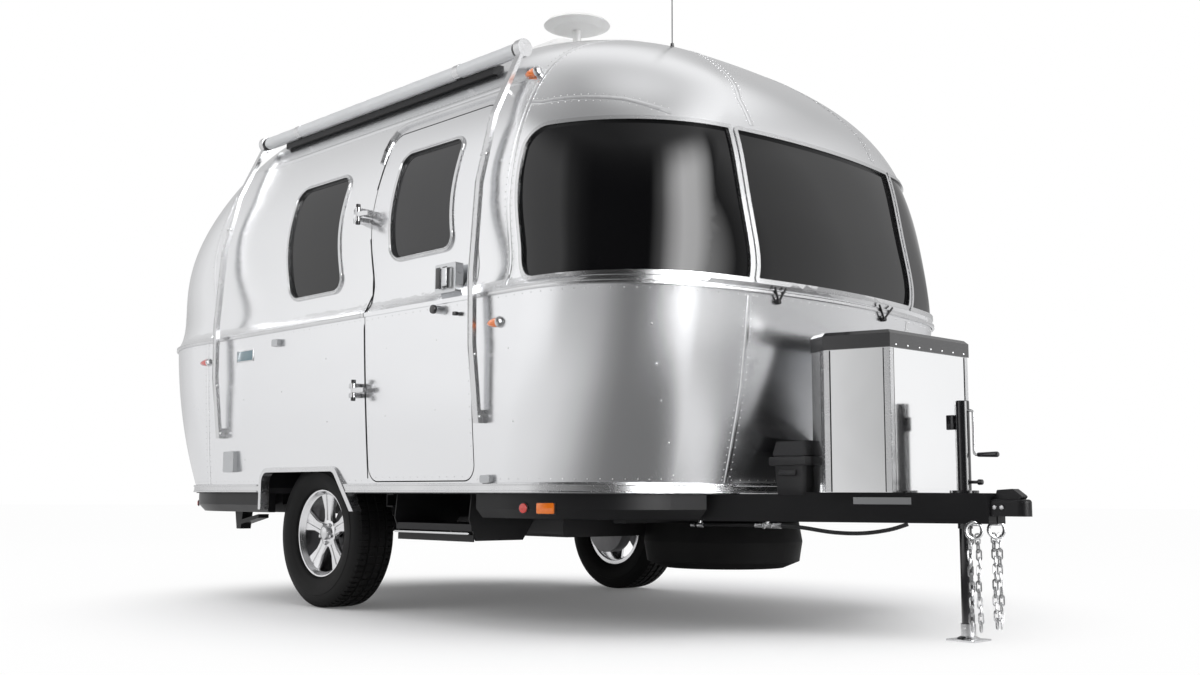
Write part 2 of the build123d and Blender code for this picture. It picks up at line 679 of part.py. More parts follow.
with BuildPart() as tongue:
    for side in (-1, 1):
        with BuildSketch(Plane.XY.offset(FRAME_BOTTOM)):
            with BuildLine():
                Polyline(
                    (TONGUE_REAR_X, side * TONGUE_REAR_Y),
                    (TONGUE_FRONT_X, side * TONGUE_FRONT_Y),
                    (TONGUE_FRONT_X, side * (TONGUE_FRONT_Y - RAIL_SPREAD)),
                    (TONGUE_REAR_X, side * (TONGUE_REAR_Y - RAIL_SPREAD)),
                    close=True,
                )
            make_face()
        extrude(amount=FRAME_TOP - FRAME_BOTTOM)
    for start, end, bottom, top in (
        (JACK_X - 90, TONGUE_FRONT_X, FRAME_TOP, FRAME_TOP + JACK_PLATE),
        (BOX_REAR_X, BOX_FRONT_X - 8, FRAME_TOP, BOX_BOTTOM),
        (BATTERY_X[0] - 8, BATTERY_X[1] + 6, FRAME_TOP - SHEET, FRAME_TOP),
    ):
        with BuildSketch(Plane.XY.offset(bottom)):
            with BuildLine():
                Polyline(
                    (start, tongue_y(start)), (end, tongue_y(end)),
                    (end, -tongue_y(end)), (start, -tongue_y(start)),
                    close=True,
                )
            make_face()
        extrude(amount=top - bottom)
    with Locations((JACK_X, 0, FRAME_TOP)):
        Cylinder(JACK_TUBE_RADIUS + SEAT_CLEARANCE, 4 * JACK_PLATE, mode=Mode.SUBTRACT)
save(tongue.part, "tongue_frame")

# Coupler: a channel from the tongue's nose to the ball housing, with its latch on top
with BuildPart() as coupler:
    with BuildSketch(Plane.XY.offset(COUPLER_Z[0])):
        with BuildLine():
            Polyline(
                (TONGUE_FRONT_X, -COUPLER_WIDTH / 2), (BALL_X, -BALL_HOUSING_RADIUS),
                (BALL_X, BALL_HOUSING_RADIUS), (TONGUE_FRONT_X, COUPLER_WIDTH / 2),
                close=True,
            )
        make_face()
        with Locations((BALL_X, 0)):
            Circle(BALL_HOUSING_RADIUS)
    extrude(amount=COUPLER_Z[1] - COUPLER_Z[0])
    fillet(coupler.edges().group_by(Axis.Z)[-1], 12)
    with Locations((BALL_X, 0, COUPLER_Z[0] + 12)):
        Sphere(BALL_RADIUS, mode=Mode.SUBTRACT)
    with Locations((BALL_X, 0, COUPLER_Z[0])):
        Cylinder(BALL_RADIUS, 24, mode=Mode.SUBTRACT)
with BuildPart() as coupler_latch:
    with BuildSketch(Plane.XZ.offset(-LATCH_WIDTH / 2)):
        with BuildLine():
            FilletPolyline(
                (TONGUE_FRONT_X + 6, COUPLER_Z[1]), (TONGUE_FRONT_X + 14, COUPLER_Z[1] + 34),
                (BALL_X - 20, COUPLER_Z[1] + 38), (BALL_X + 18, COUPLER_Z[1] + 10),
                (BALL_X + 8, COUPLER_Z[1]),
                radius=6, close=True,
            )
        make_face()
    extrude(amount=LATCH_WIDTH)
save(group([coupler.part, coupler_latch.part]), "coupler")

# Tongue jack: fixed tube with crank, and the leg with its foot that slides in it
with BuildPart() as jack_tube:
    with Locations((JACK_X, 0, 0)):
        with Locations((0, 0, JACK_TUBE_BOTTOM)):
            Cylinder(JACK_TUBE_RADIUS, JACK_TUBE_TOP - JACK_TUBE_BOTTOM,
                     align=(Align.CENTER, Align.CENTER, Align.MIN))
        with Locations((0, 0, FRAME_TOP + JACK_PLATE)):
            Cylinder(JACK_FLANGE_RADIUS, JACK_PLATE, align=(Align.CENTER, Align.CENTER, Align.MIN))
    fillet(jack_tube.edges().group_by(Axis.Z)[-1], 4)
    with Locations((JACK_X, 0, JACK_TUBE_BOTTOM)):
        Cylinder(JACK_LEG_RADIUS + SEAT_CLEARANCE, JACK_TUBE_TOP - JACK_TUBE_BOTTOM - 22,
                 align=(Align.CENTER, Align.CENTER, Align.MIN), mode=Mode.SUBTRACT)
save(jack_tube.part, "jack_tube")
with BuildPart() as jack_crank:
    with BuildSketch(Plane.YZ.offset(JACK_X + JACK_TUBE_RADIUS + SEAT_CLEARANCE)):
        with Locations((0, CRANK_TOP)):
            Circle(8)
    extrude(amount=CRANK_REACH)
    with BuildSketch(Plane.YZ.offset(JACK_X + JACK_TUBE_RADIUS + CRANK_REACH - 6)):
        with Locations((0, CRANK_TOP - CRANK_ARM / 2)):
            SlotOverall(CRANK_ARM + 14, 13, rotation=90)
    extrude(amount=6)
    with BuildSketch(Plane.YZ.offset(JACK_X + JACK_TUBE_RADIUS + CRANK_REACH)):
        with Locations((0, CRANK_TOP - CRANK_ARM)):
            Circle(11)
    extrude(amount=CRANK_GRIP)
    fillet(jack_crank.edges().group_by(Axis.X)[-1], 3)
save(jack_crank.part, "jack_crank")
with BuildPart() as jack_leg:
    with BuildSketch():
        with Locations((JACK_X, 0)):
            RectangleRounded(JACK_FOOT, JACK_FOOT, 14)
    extrude(amount=JACK_FOOT_SHEET)
    with Locations((JACK_X, 0, 0)):
        Cone(JACK_LEG_RADIUS + 14, JACK_LEG_RADIUS + 7, 36, align=(Align.CENTER, Align.CENTER, Align.MIN))
        Cylinder(JACK_LEG_RADIUS, JACK_LEG_TOP, align=(Align.CENTER, Align.CENTER, Align.MIN))
save(jack_leg.part, "jack_leg")

# Gas-bottle box: a faceted open box, its hinged lid and the two bottles in it
BOX_PLAN = [
    (BOX_REAR_X, BOX_REAR_Y), (BOX_SHOULDER_X, BOX_SHOULDER_Y), (BOX_FRONT_X, BOX_FRONT_Y),
    (BOX_FRONT_X, -BOX_FRONT_Y), (BOX_SHOULDER_X, -BOX_SHOULDER_Y), (BOX_REAR_X, -BOX_REAR_Y),
]


def box_prism(bottom, top, grow):
    """Prism of the box's plan, moved outwards all round."""
    with BuildPart() as prism_part:
        with BuildSketch(Plane.XY.offset(bottom)):
            with BuildLine():
                Polyline(*BOX_PLAN, close=True)
            make_face()
            offset(amount=grow, kind=Kind.INTERSECTION)
        extrude(amount=top - bottom)
    return prism_part.part


box_outside = box_prism(BOX_BOTTOM, BOX_TOP, 0)
box_inside = box_prism(BOX_BOTTOM + BOX_SHEET, BOX_TOP + BOX_SHEET, -BOX_SHEET)
save(panel(box_outside, [], [box_inside]), "gas_box")
lid_front_zone = block((BOX_REAR_X, FAR), (-FAR, FAR), (0, FAR))
lid_outside = box_prism(BOX_TOP + SEAT_CLEARANCE, BOX_TOP + LID_HEIGHT, LID_LIP)
lid_outside = chamfer(lid_outside.edges().group_by(Axis.Z)[-1], 14)
lid_inside = box_prism(BOX_TOP, BOX_TOP + LID_HEIGHT - BOX_SHEET, -BOX_SHEET)
save(panel(lid_outside, [lid_front_zone], [lid_inside]), "gas_box_lid")
bottles = []
for side in (-1, 1):
    with BuildPart() as bottle:
        with BuildSketch(Plane.XZ):
            with BuildLine():
                Polyline(
                    (0, 0), (BOTTLE_RADIUS - 40, 0), (BOTTLE_RADIUS, 60),
                    (BOTTLE_RADIUS, BOTTLE_HEIGHT - 90), (70, BOTTLE_HEIGHT),
                    (70, BOTTLE_HEIGHT + 90), (0, BOTTLE_HEIGHT + 90), close=True,
                )
            make_face()
        revolve(axis=Axis.Z)
    bottles.append(Pos(BOTTLE_X, side * BOTTLE_Y, BOX_BOTTOM + BOX_SHEET) * bottle.part)
save(group(bottles), "gas_bottles")

# Battery box: a drafted case with an overhanging lid
with BuildPart() as battery_box:
    for bottom, top, shrink in ((FRAME_TOP, BATTERY_TOP - 55, 14), (BATTERY_TOP - 55, BATTERY_TOP, 0)):
        for height, inset in ((bottom, shrink), (top, shrink / 3 if bottom == FRAME_TOP else 12)):
            with BuildSketch(Plane.XY.offset(height)):
                with Locations((sum(BATTERY_X) / 2, sum(BATTERY_Y) / 2)):
                    RectangleRounded(
                        BATTERY_X[1] - BATTERY_X[0] - 2 * inset, BATTERY_Y[1] - BATTERY_Y[0] - 2 * inset, 16
                    )
        loft()
save(battery_box.part, "battery_box")

# Axle: a square beam under the rails, trailing arms and the wheel spindles
BEAM_Z = FRAME_BOTTOM - AXLE_TUBE / 2
with BuildPart() as axle_beam:
    with BuildSketch(Plane.XZ.offset(-ARM_Y[0])):
        with Locations((AXLE_X, BEAM_Z)):
            RectangleRounded(AXLE_TUBE, AXLE_TUBE, 12)
    extrude(amount=2 * ARM_Y[0])
save(axle_beam.part, "axle_beam")
with BuildPart() as arm:
    with BuildSketch(Plane.XZ.offset(ARM_Y[0])):
        with Locations((AXLE_X, BEAM_Z)):
            Circle(36)
        with Locations((WHEEL_X, TYRE_RADIUS)):
            Circle(40)
        make_hull()
    extrude(amount=ARM_Y[1] - ARM_Y[0])
    with BuildSketch(Plane.XZ.offset(ARM_Y[1])):
        with Locations((WHEEL_X, TYRE_RADIUS)):
            Circle(SPINDLE_RADIUS)
    extrude(amount=SPINDLE_LENGTH)
save(group([arm.part, mirrored(arm.part)]), "axle_arms")

# Wheels, built about +Z and then stood up at the spindle ends, outer face outwards
wheel_seats = {
    "right": Plane(origin=(WHEEL_X, -WHEEL_CENTRE_Y, TYRE_RADIUS), x_dir=(1, 0, 0), z_dir=(0, -1, 0)),
    "left": Plane(origin=(WHEEL_X, WHEEL_CENTRE_Y, TYRE_RADIUS), x_dir=(1, 0, 0), z_dir=(0, 1, 0)),
}
with BuildPart() as tyre:
    with BuildSketch(Plane.XZ):
        with BuildLine():
            tyre_half = [
                (RIM_LIP_RADIUS + SEAT_CLEARANCE, RIM_HALF_WIDTH - 3),
                (RIM_LIP_RADIUS + 14, TYRE_WIDTH / 2 - 15),
                (TYRE_RADIUS - 72, TYRE_WIDTH / 2),
                (TYRE_RADIUS - 17, TYRE_WIDTH / 2 - 15),
                (TYRE_RADIUS, TREAD_WIDTH / 2),
            ]
            Polyline(*tyre_half, *[(r, -h) for r, h in reversed(tyre_half)], close=True)
        make_face()
    revolve(axis=Axis.Z)
INNER_FACE = -(WHEEL_CENTRE_Y - ARM_Y[1]) + 14
with BuildPart() as rim:
    with BuildSketch(Plane.XZ):
        with BuildLine():
            barrel = [
                (RIM_LIP_RADIUS, -RIM_HALF_WIDTH),
                (RIM_LIP_RADIUS, RIM_HALF_WIDTH),
                (RIM_SEAT_RADIUS - RIM_THICKNESS, RIM_HALF_WIDTH),
                (RIM_SEAT_RADIUS - RIM_THICKNESS, -RIM_HALF_WIDTH),
            ]
            Polyline(*barrel, close=True)
        make_face()
    revolve(axis=Axis.Z)
    with Locations((0, 0, SPOKE_FACE - SPOKE_DEPTH)):
        Cylinder(HUB_RADIUS, SPOKE_DEPTH, align=(Align.CENTER, Align.CENTER, Align.MIN))
    with Locations((0, 0, INNER_FACE)):
        Cylinder(HUB_RADIUS - 8, SPOKE_FACE - SPOKE_DEPTH - INNER_FACE,
                 align=(Align.CENTER, Align.CENTER, Align.MIN))
        Cylinder(DRUM_RADIUS, DRUM_DEPTH, align=(Align.CENTER, Align.CENTER, Align.MIN))
    with Locations((0, 0, SPOKE_FACE)):
        Cone(36, 30, CAP_HEIGHT, align=(Align.CENTER, Align.CENTER, Align.MIN))
    with BuildSketch(Plane.XY.offset(SPOKE_FACE - SPOKE_DEPTH)):
        with PolarLocations(0, SPOKE_COUNT, start_angle=90):
            with BuildLine():
                Polyline(
                    (HUB_RADIUS - 14, -30), (HUB_RADIUS + 40, -21), (RIM_SEAT_RADIUS - 4, -33),
                    (RIM_SEAT_RADIUS - 4, 33), (HUB_RADIUS + 40, 21), (HUB_RADIUS - 14, 30),
                    close=True,
                )
            make_face()
    extrude(amount=SPOKE_DEPTH)
    with Locations((0, 0, INNER_FACE)):
        Cylinder(SPINDLE_RADIUS + SPINDLE_CLEARANCE, HUB_BORE,
                 align=(Align.CENTER, Align.CENTER, Align.MIN), mode=Mode.SUBTRACT)
for name, seat in wheel_seats.items():
    save(seat.location * tyre.part, f"tyre_{name}")
    save(seat.location * rim.part, f"wheel_{name}")

# Spare wheel, flat under the tongue rails on its carrier bar
with BuildPart() as spare:
    with BuildSketch(Plane.XZ):
        with BuildLine():
            Polyline(
                (0, SPARE_Z - TYRE_WIDTH / 2 + 40), (RIM_LIP_RADIUS, SPARE_Z - TYRE_WIDTH / 2 + 12),
                (RIM_LIP_RADIUS + 60, SPARE_Z - TYRE_WIDTH / 2), (TYRE_RADIUS - 14, SPARE_Z - TREAD_WIDTH / 2),
                (TYRE_RADIUS, SPARE_Z), (TYRE_RADIUS - 14, SPARE_TOP), (0, SPARE_TOP),
                close=True,
            )
        make_face()
    revolve(axis=Axis.Z)
save(Pos(SPARE_X, 0, 0) * spare.part, "spare_wheel")
with BuildPart() as spare_carrier:
    with BuildSketch(Plane.XY.offset(SPARE_TOP)):
        with Locations((SPARE_X, 0)):
            Rectangle(70, 2 * SPARE_BAR_HALF)
    extrude(amount=FRAME_BOTTOM - SPARE_TOP)
save(spare_carrier.part, "spare_carrier")

# Water tank between the rails, folded entry step, and the two rear steadies
with BuildPart() as tank:
    with BuildSketch(Plane.YZ.offset(TANK_X[0])):
        with Locations((0, (TANK_BOTTOM + TANK_TOP) / 2)):
            RectangleRounded(2 * TANK_HALF_WIDTH, TANK_TOP - TANK_BOTTOM, 24)
    extrude(amount=TANK_X[1] - TANK_X[0])
save(tank.part, "water_tank")
STEP_PLAN = [(-RAIL_OUTER, FRAME_TOP), (-STEP_Y, FRAME_TOP), (-STEP_Y - 12, 430), (-STEP_Y + 24, STEP_BOTTOM),
             (-790, STEP_BOTTOM), (-RAIL_OUTER, 430)]
with BuildPart() as entry_step:
    for plate_x in (STEP_X[0], STEP_X[1] - SHEET):
        with BuildSketch(Plane.YZ.offset(plate_x)):
            with BuildLine():
                Polyline(*STEP_PLAN, close=True)
            make_face()
        extrude(amount=SHEET)
    for tread_z, front_y in ((STEP_BOTTOM, -STEP_Y + 10), (STEP_BOTTOM + 44, -STEP_Y)):
        with BuildSketch(Plane.YZ.offset(STEP_X[0])):
            with BuildLine():
                Polyline(
                    (front_y, tread_z - 4), (front_y, tread_z + 24), (-800, tread_z + 24),
                    (-800, tread_z + 18), (front_y + 6, tread_z + 18), (front_y + 6, tread_z - 4),
                    close=True,
                )
            make_face()
        extrude(amount=STEP_X[1] - STEP_X[0])
save(entry_step.part, "entry_step")
steadies = []
for side in (-1, 1):
    with BuildPart() as steady:
        with BuildSketch(Plane.XZ.offset(-side * STEADY_Y - 30)):
            with BuildLine():
                Polyline(
                    (STEADY_X - 48, FRAME_TOP - CROSS_DEPTH), (STEADY_X + 48, FRAME_TOP - CROSS_DEPTH),
                    (STEADY_X + 24, STEADY_BOTTOM), (STEADY_X - 20, STEADY_BOTTOM), close=True,
                )
            make_face()
            with BuildLine():
                Polyline(
                    (STEADY_X, STEADY_BOTTOM + 20), (STEADY_X, STEADY_BOTTOM + 44),
                    (STEADY_X + STEADY_ARM, STEADY_BOTTOM + 80), (STEADY_X + STEADY_ARM, STEADY_BOTTOM + 60),
                    close=True,
                )
            make_face()
        extrude(amount=60)
    steadies.append(steady.part)
save(group(steadies), "rear_steadies")

# Awning: rolled tube with its arms, which lie on the wall and carry the tube's ends
with BuildPart() as awning_roller:
    with BuildSketch(Plane.YZ.offset(ROLLER_X[0])):
        with Locations((ROLLER_Y, ROLLER_Z)):
            Circle(ROLLER_RADIUS)
    extrude(amount=ROLLER_X[1] - ROLLER_X[0])
save(awning_roller.part, "awning_roller")
with BuildPart() as awning_rail:
    add(block(RAIL_X, (ROLLER_Y + 4, ROLLER_Y + 66), (ROLLER_Z - 62, ROLLER_Z - 14)))
    with BuildSketch(Plane.YZ.offset(RAIL_X[0])):
        with Locations((ROLLER_Y, ROLLER_Z)):
            Circle(ROLLER_RADIUS + SEAT_CLEARANCE)
    extrude(amount=RAIL_X[1] - RAIL_X[0], mode=Mode.SUBTRACT)
save(seated(awning_rail.part), "awning_rail")
arms = []
for arm_x in ARM_X:
    with BuildPart() as arm:
        with BuildSketch(Plane.YZ.offset(arm_x - ARM_WIDTH / 2)):
            with BuildLine():
                FilletPolyline(*ARM_PATH, radius=120)
            trace(line_width=ARM_THICKNESS)
            with Locations((ROLLER_Y, ROLLER_Z)):
                Circle(ROLLER_RADIUS + 6)
            with Locations((ARM_PATH[0][0] + 12, ARM_PATH[0][1] + 22)):
                Rectangle(40, 52)
        extrude(amount=ARM_WIDTH)
    arms.append(seated(arm.part))
save(group(arms), "awning_arms")


def bullet_lamp(x, z, side, length, radius, heading):
    """Marker lamp lying on the side: a half bullet, its point towards heading."""
    with BuildPart() as lamp:
        with BuildSketch(Plane.XY):
            with BuildLine():
                Line((0, 0), (0, radius))
                EllipticalCenterArc((0, 0), length, radius, start_angle=0, arc_size=90)
                Line((length, 0), (0, 0))
            make_face()
        revolve(axis=Axis.X)
    turned = lamp.part if heading > 0 else mirror(lamp.part, about=Plane.YZ)
    return seated(Pos(x - heading * length / 2, side * (skin_y(z) + LAMP_PROUD), z) * turned)


def round_lamp(x, y, z, axis, radius, depth):
    """Round lamp body along an axis, from its place outwards."""
    seat = Plane(origin=(x, y, z), z_dir=axis)
    with BuildPart() as lamp:
        with BuildSketch(seat):
            Circle(radius)
        extrude(amount=depth)
        fillet(lamp.faces().sort_by(lambda face: face.center().dot(Vector(*axis)))[-1].edges(), depth * 0.2)
    return lamp.part


amber = [bullet_lamp(AMBER_MARKER[0], AMBER_MARKER[1], side, 88, 19, 1) for side in (-1, 1)]
red = [bullet_lamp(RED_MARKER[0], RED_MARKER[1], side, 88, 19, -1) for side in (-1, 1)]
for lamp_z in TAIL_LAMP_Z:
    for side in (-1, 1):
        red.append(seated(round_lamp(TAIL_LAMP_X, side * TAIL_LAMP_Y, lamp_z, (-1, 0, 0), 42, TAIL_LAMP_DEPTH)))
save(group(amber), "amber_lamps")
save(group(red), "red_lamps")

# Wall fittings: outlet cover, latch and tap on the right; hatches on the left
# How far a cover's block runs into the wall before it is cut at the skin
COVER_ROOT = 40.0


def wall_plate(x, z, width, height, proud, side, radius=8):
    """Rounded cover standing on a side wall."""
    with BuildPart() as plate:
        with BuildSketch(Plane.XZ.offset(-side * (skin_y(z) + (proud if side < 0 else -COVER_ROOT)))):
            with Locations((x, z)):
                RectangleRounded(width, height, radius)
        extrude(amount=-(proud + COVER_ROOT))
    return seated(plate.part)


covers = [wall_plate(*row, -1) for row in RIGHT_COVERS]
covers += [wall_plate(*row, 1) for row in LEFT_COVERS]
save(group(covers), "wall_covers")

# Roof: air conditioner, vent hood, disc antenna and radio whip
with BuildPart() as air_conditioner:
    for height, length, width in AC_ROWS:
        with BuildSketch(Plane.XY.offset(ROOF_TOP + height)):
            with Locations((AC_X, 0)):
                RectangleRounded(length, width, 60)
    loft(ruled=True)
save(air_conditioner.part, "air_conditioner")
with BuildPart() as roof_vent:
    for height, length in ((0, 380), (26, 380), (62, 320)):
        with BuildSketch(Plane.XY.offset(ROOF_TOP + height)):
            with Locations((VENT_X, 0)):
                RectangleRounded(length, length, 40)
    loft(ruled=True)
save(roof_vent.part, "roof_vent")
with BuildPart() as disc_antenna:
    with BuildSketch(Plane.XZ):
        with BuildLine():
            Polyline(
                (0, 0), (52, 0), (52, 60), (20, 74), (20, DISC_Z[0]), (DISC_RADIUS * 0.7, DISC_Z[0] + 4),
                (DISC_RADIUS, DISC_Z[0] + 24), (DISC_RADIUS * 0.92, DISC_Z[0] + 38),
                (DISC_RADIUS * 0.5, DISC_Z[1]), (0, DISC_Z[1]), close=True,
            )
        make_face()
    revolve(axis=Axis.Z)
save(seated(Pos(DISC_X, DISC_Y, ROOF_TOP - 50) * disc_antenna.part), "disc_antenna")
with BuildPart() as radio_whip:
    with Locations((WHIP_X, WHIP_Y, WHIP_Z)):
        Cone(16, 7, 60, align=(Align.CENTER, Align.CENTER, Align.MIN))
        Cylinder(WHIP_RADIUS, WHIP_TOP - WHIP_Z, align=(Align.CENTER, Align.CENTER, Align.MIN))
save(seated(radio_whip.part), "radio_whip")
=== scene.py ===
"""Looks of a riveted aluminium travel caravan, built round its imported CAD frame."""

import json
import logging
import math
from bisect import bisect_left
from dataclasses import dataclass, field
from enum import Enum
from typing import Sequence

import bmesh
import bpy
from mathutils import Matrix, Vector
from mathutils.bvhtree import BVHTree

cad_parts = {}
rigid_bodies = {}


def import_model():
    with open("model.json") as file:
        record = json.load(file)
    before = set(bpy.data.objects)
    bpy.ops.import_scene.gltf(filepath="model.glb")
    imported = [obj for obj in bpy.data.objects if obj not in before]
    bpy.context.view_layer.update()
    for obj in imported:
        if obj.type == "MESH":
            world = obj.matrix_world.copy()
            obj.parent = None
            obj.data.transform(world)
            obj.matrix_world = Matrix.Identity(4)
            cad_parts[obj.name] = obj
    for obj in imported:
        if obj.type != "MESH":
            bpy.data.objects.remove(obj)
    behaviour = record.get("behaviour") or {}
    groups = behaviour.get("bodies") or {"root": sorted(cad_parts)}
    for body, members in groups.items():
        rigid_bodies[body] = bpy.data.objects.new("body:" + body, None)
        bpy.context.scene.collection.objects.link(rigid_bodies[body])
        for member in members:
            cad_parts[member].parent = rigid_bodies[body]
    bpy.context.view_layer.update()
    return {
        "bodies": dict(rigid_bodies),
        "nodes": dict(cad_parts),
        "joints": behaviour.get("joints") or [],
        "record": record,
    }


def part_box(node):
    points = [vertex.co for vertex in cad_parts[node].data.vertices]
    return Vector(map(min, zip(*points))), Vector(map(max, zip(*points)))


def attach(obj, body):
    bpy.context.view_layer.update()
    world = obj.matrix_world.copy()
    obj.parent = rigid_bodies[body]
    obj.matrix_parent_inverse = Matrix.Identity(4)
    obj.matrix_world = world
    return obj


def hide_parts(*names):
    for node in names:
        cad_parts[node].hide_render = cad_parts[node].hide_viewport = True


LOG = logging.getLogger("caravan")
Point = tuple[float, float, float]
Pair = tuple[float, float]
Span = tuple[float, float, float, float]
Station = tuple[Vector, Vector]


class Body(str, Enum):
    """Rigid bodies of the frame."""

    CARAVAN = "caravan"
    DOOR = "door"
    GAS_LID = "gas_lid"
    JACK = "jack_foot"
    WHEEL_RIGHT = "wheel_right_body"
    WHEEL_LEFT = "wheel_left_body"


def shader_node(tree: bpy.types.NodeTree, kind: str, values: dict | None = None, **settings: str
                ) -> bpy.types.Node:
    """Adds a shader node.

    Args:
        tree: The node tree that gets it.
        kind: Its type without the word ShaderNode.
        values: Values of its input sockets by name or number.
        **settings: Its own properties.

    Returns:
        The new node.
    """
    made = tree.nodes.new(f"ShaderNode{kind}")
    for name, value in settings.items():
        setattr(made, name, value)
    for socket, value in (values or {}).items():
        made.inputs[socket].default_value = value
    return made


def empty_group(name: str, inputs: dict[str, str], outputs: dict[str, str]) -> bpy.types.NodeTree:
    """Shader group with nothing but its sockets.

    Args:
        name: The group's name.
        inputs: Kind of each input, such as Float, by its name.
        outputs: The same for the outputs.

    Returns:
        The new group.
    """
    tree = bpy.data.node_groups.new(name, "ShaderNodeTree")
    for way, sockets in (("INPUT", inputs), ("OUTPUT", outputs)):
        for socket, kind in sockets.items():
            tree.interface.new_socket(socket, in_out=way, socket_type=f"NodeSocket{kind}")
    return tree


def surface_group() -> bpy.types.NodeTree:
    """Shader group that varies colour, roughness and height over a surface.

    Returns:
        The group, made on the first call.
    """
    found = bpy.data.node_groups.get("surface variation")
    if found:
        return found
    floats = ("Patch Scale", "Patch Depth", "Grain Scale", "Grain Depth", "Rough Low", "Rough High")
    tree = empty_group(
        "surface variation",
        {"Vector": "Vector", "Color": "Color", "Shade": "Color", **{name: "Float" for name in floats}},
        {"Color": "Color", "Roughness": "Float", "Height": "Float"},
    )
    links = tree.links
    given, given_out = tree.nodes.new("NodeGroupInput"), tree.nodes.new("NodeGroupOutput")
    patch = shader_node(tree, "TexNoise", {"Detail": 3.0})
    grain = shader_node(tree, "TexNoise", {"Detail": 2.0})
    for texture, scale in ((patch, "Patch Scale"), (grain, "Grain Scale")):
        links.new(given.outputs["Vector"], texture.inputs["Vector"])
        links.new(given.outputs[scale], texture.inputs["Scale"])
    mix = shader_node(tree, "Mix", data_type="RGBA")
    links.new(patch.outputs[0], mix.inputs[0])
    links.new(given.outputs["Color"], mix.inputs[6])
    links.new(given.outputs["Shade"], mix.inputs[7])
    links.new(mix.outputs[2], given_out.inputs["Color"])
    grain_share = 0.35
    patch_part = shader_node(tree, "Math", {1: 1.0 - grain_share}, operation="MULTIPLY")
    blend = shader_node(tree, "Math", {1: grain_share}, operation="MULTIPLY_ADD")
    links.new(patch.outputs[0], patch_part.inputs[0])
    links.new(grain.outputs[0], blend.inputs[0])
    links.new(patch_part.outputs[0], blend.inputs[2])
    spread = shader_node(tree, "MapRange", {"From Min": 0.3, "From Max": 0.7})
    links.new(blend.outputs[0], spread.inputs["Value"])
    links.new(given.outputs["Rough Low"], spread.inputs["To Min"])
    links.new(given.outputs["Rough High"], spread.inputs["To Max"])
    links.new(spread.outputs[0], given_out.inputs["Roughness"])
    low = shader_node(tree, "Math", operation="MULTIPLY")
    high = shader_node(tree, "Math", operation="MULTIPLY_ADD")
    links.new(patch.outputs[0], low.inputs[0])
    links.new(given.outputs["Patch Depth"], low.inputs[1])
    links.new(grain.outputs[0], high.inputs[0])
    links.new(given.outputs["Grain Depth"], high.inputs[1])
    links.new(low.outputs[0], high.inputs[2])
    links.new(high.outputs[0], given_out.inputs["Height"])
    return tree


def dust_group() -> bpy.types.NodeTree:
    """Shader group that gives a mask of road dust, heavier near the ground.

    Returns:
        The group, made on the first call.
    """
    found = bpy.data.node_groups.get("road dust")
    if found:
        return found
    inputs = {"Vector": "Vector", "Top": "Float", "Amount": "Float"}
    tree = empty_group("road dust", inputs, {"Mask": "Float"})
    links = tree.links
    given, given_out = tree.nodes.new("NodeGroupInput"), tree.nodes.new("NodeGroupOutput")
    split = shader_node(tree, "SeparateXYZ")
    fade = shader_node(tree, "MapRange", {"To Min": 1.0, "To Max": 0.0})
    noise = shader_node(tree, "TexNoise", {"Scale": 9.0, "Detail": 6.0})
    patchy = shader_node(tree, "Math", operation="MULTIPLY")
    amount = shader_node(tree, "Math", operation="MULTIPLY")
    links.new(given.outputs["Vector"], split.inputs[0])
    links.new(given.outputs["Vector"], noise.inputs["Vector"])
    links.new(split.outputs["Z"], fade.inputs["Value"])
    links.new(given.outputs["Top"], fade.inputs["From Max"])
    links.new(fade.outputs[0], patchy.inputs[0])
    links.new(noise.outputs[0], patchy.inputs[1])
    links.new(patchy.outputs[0], amount.inputs[0])
    links.new(given.outputs["Amount"], amount.inputs[1])
    links.new(amount.outputs[0], given_out.inputs["Mask"])
    return tree


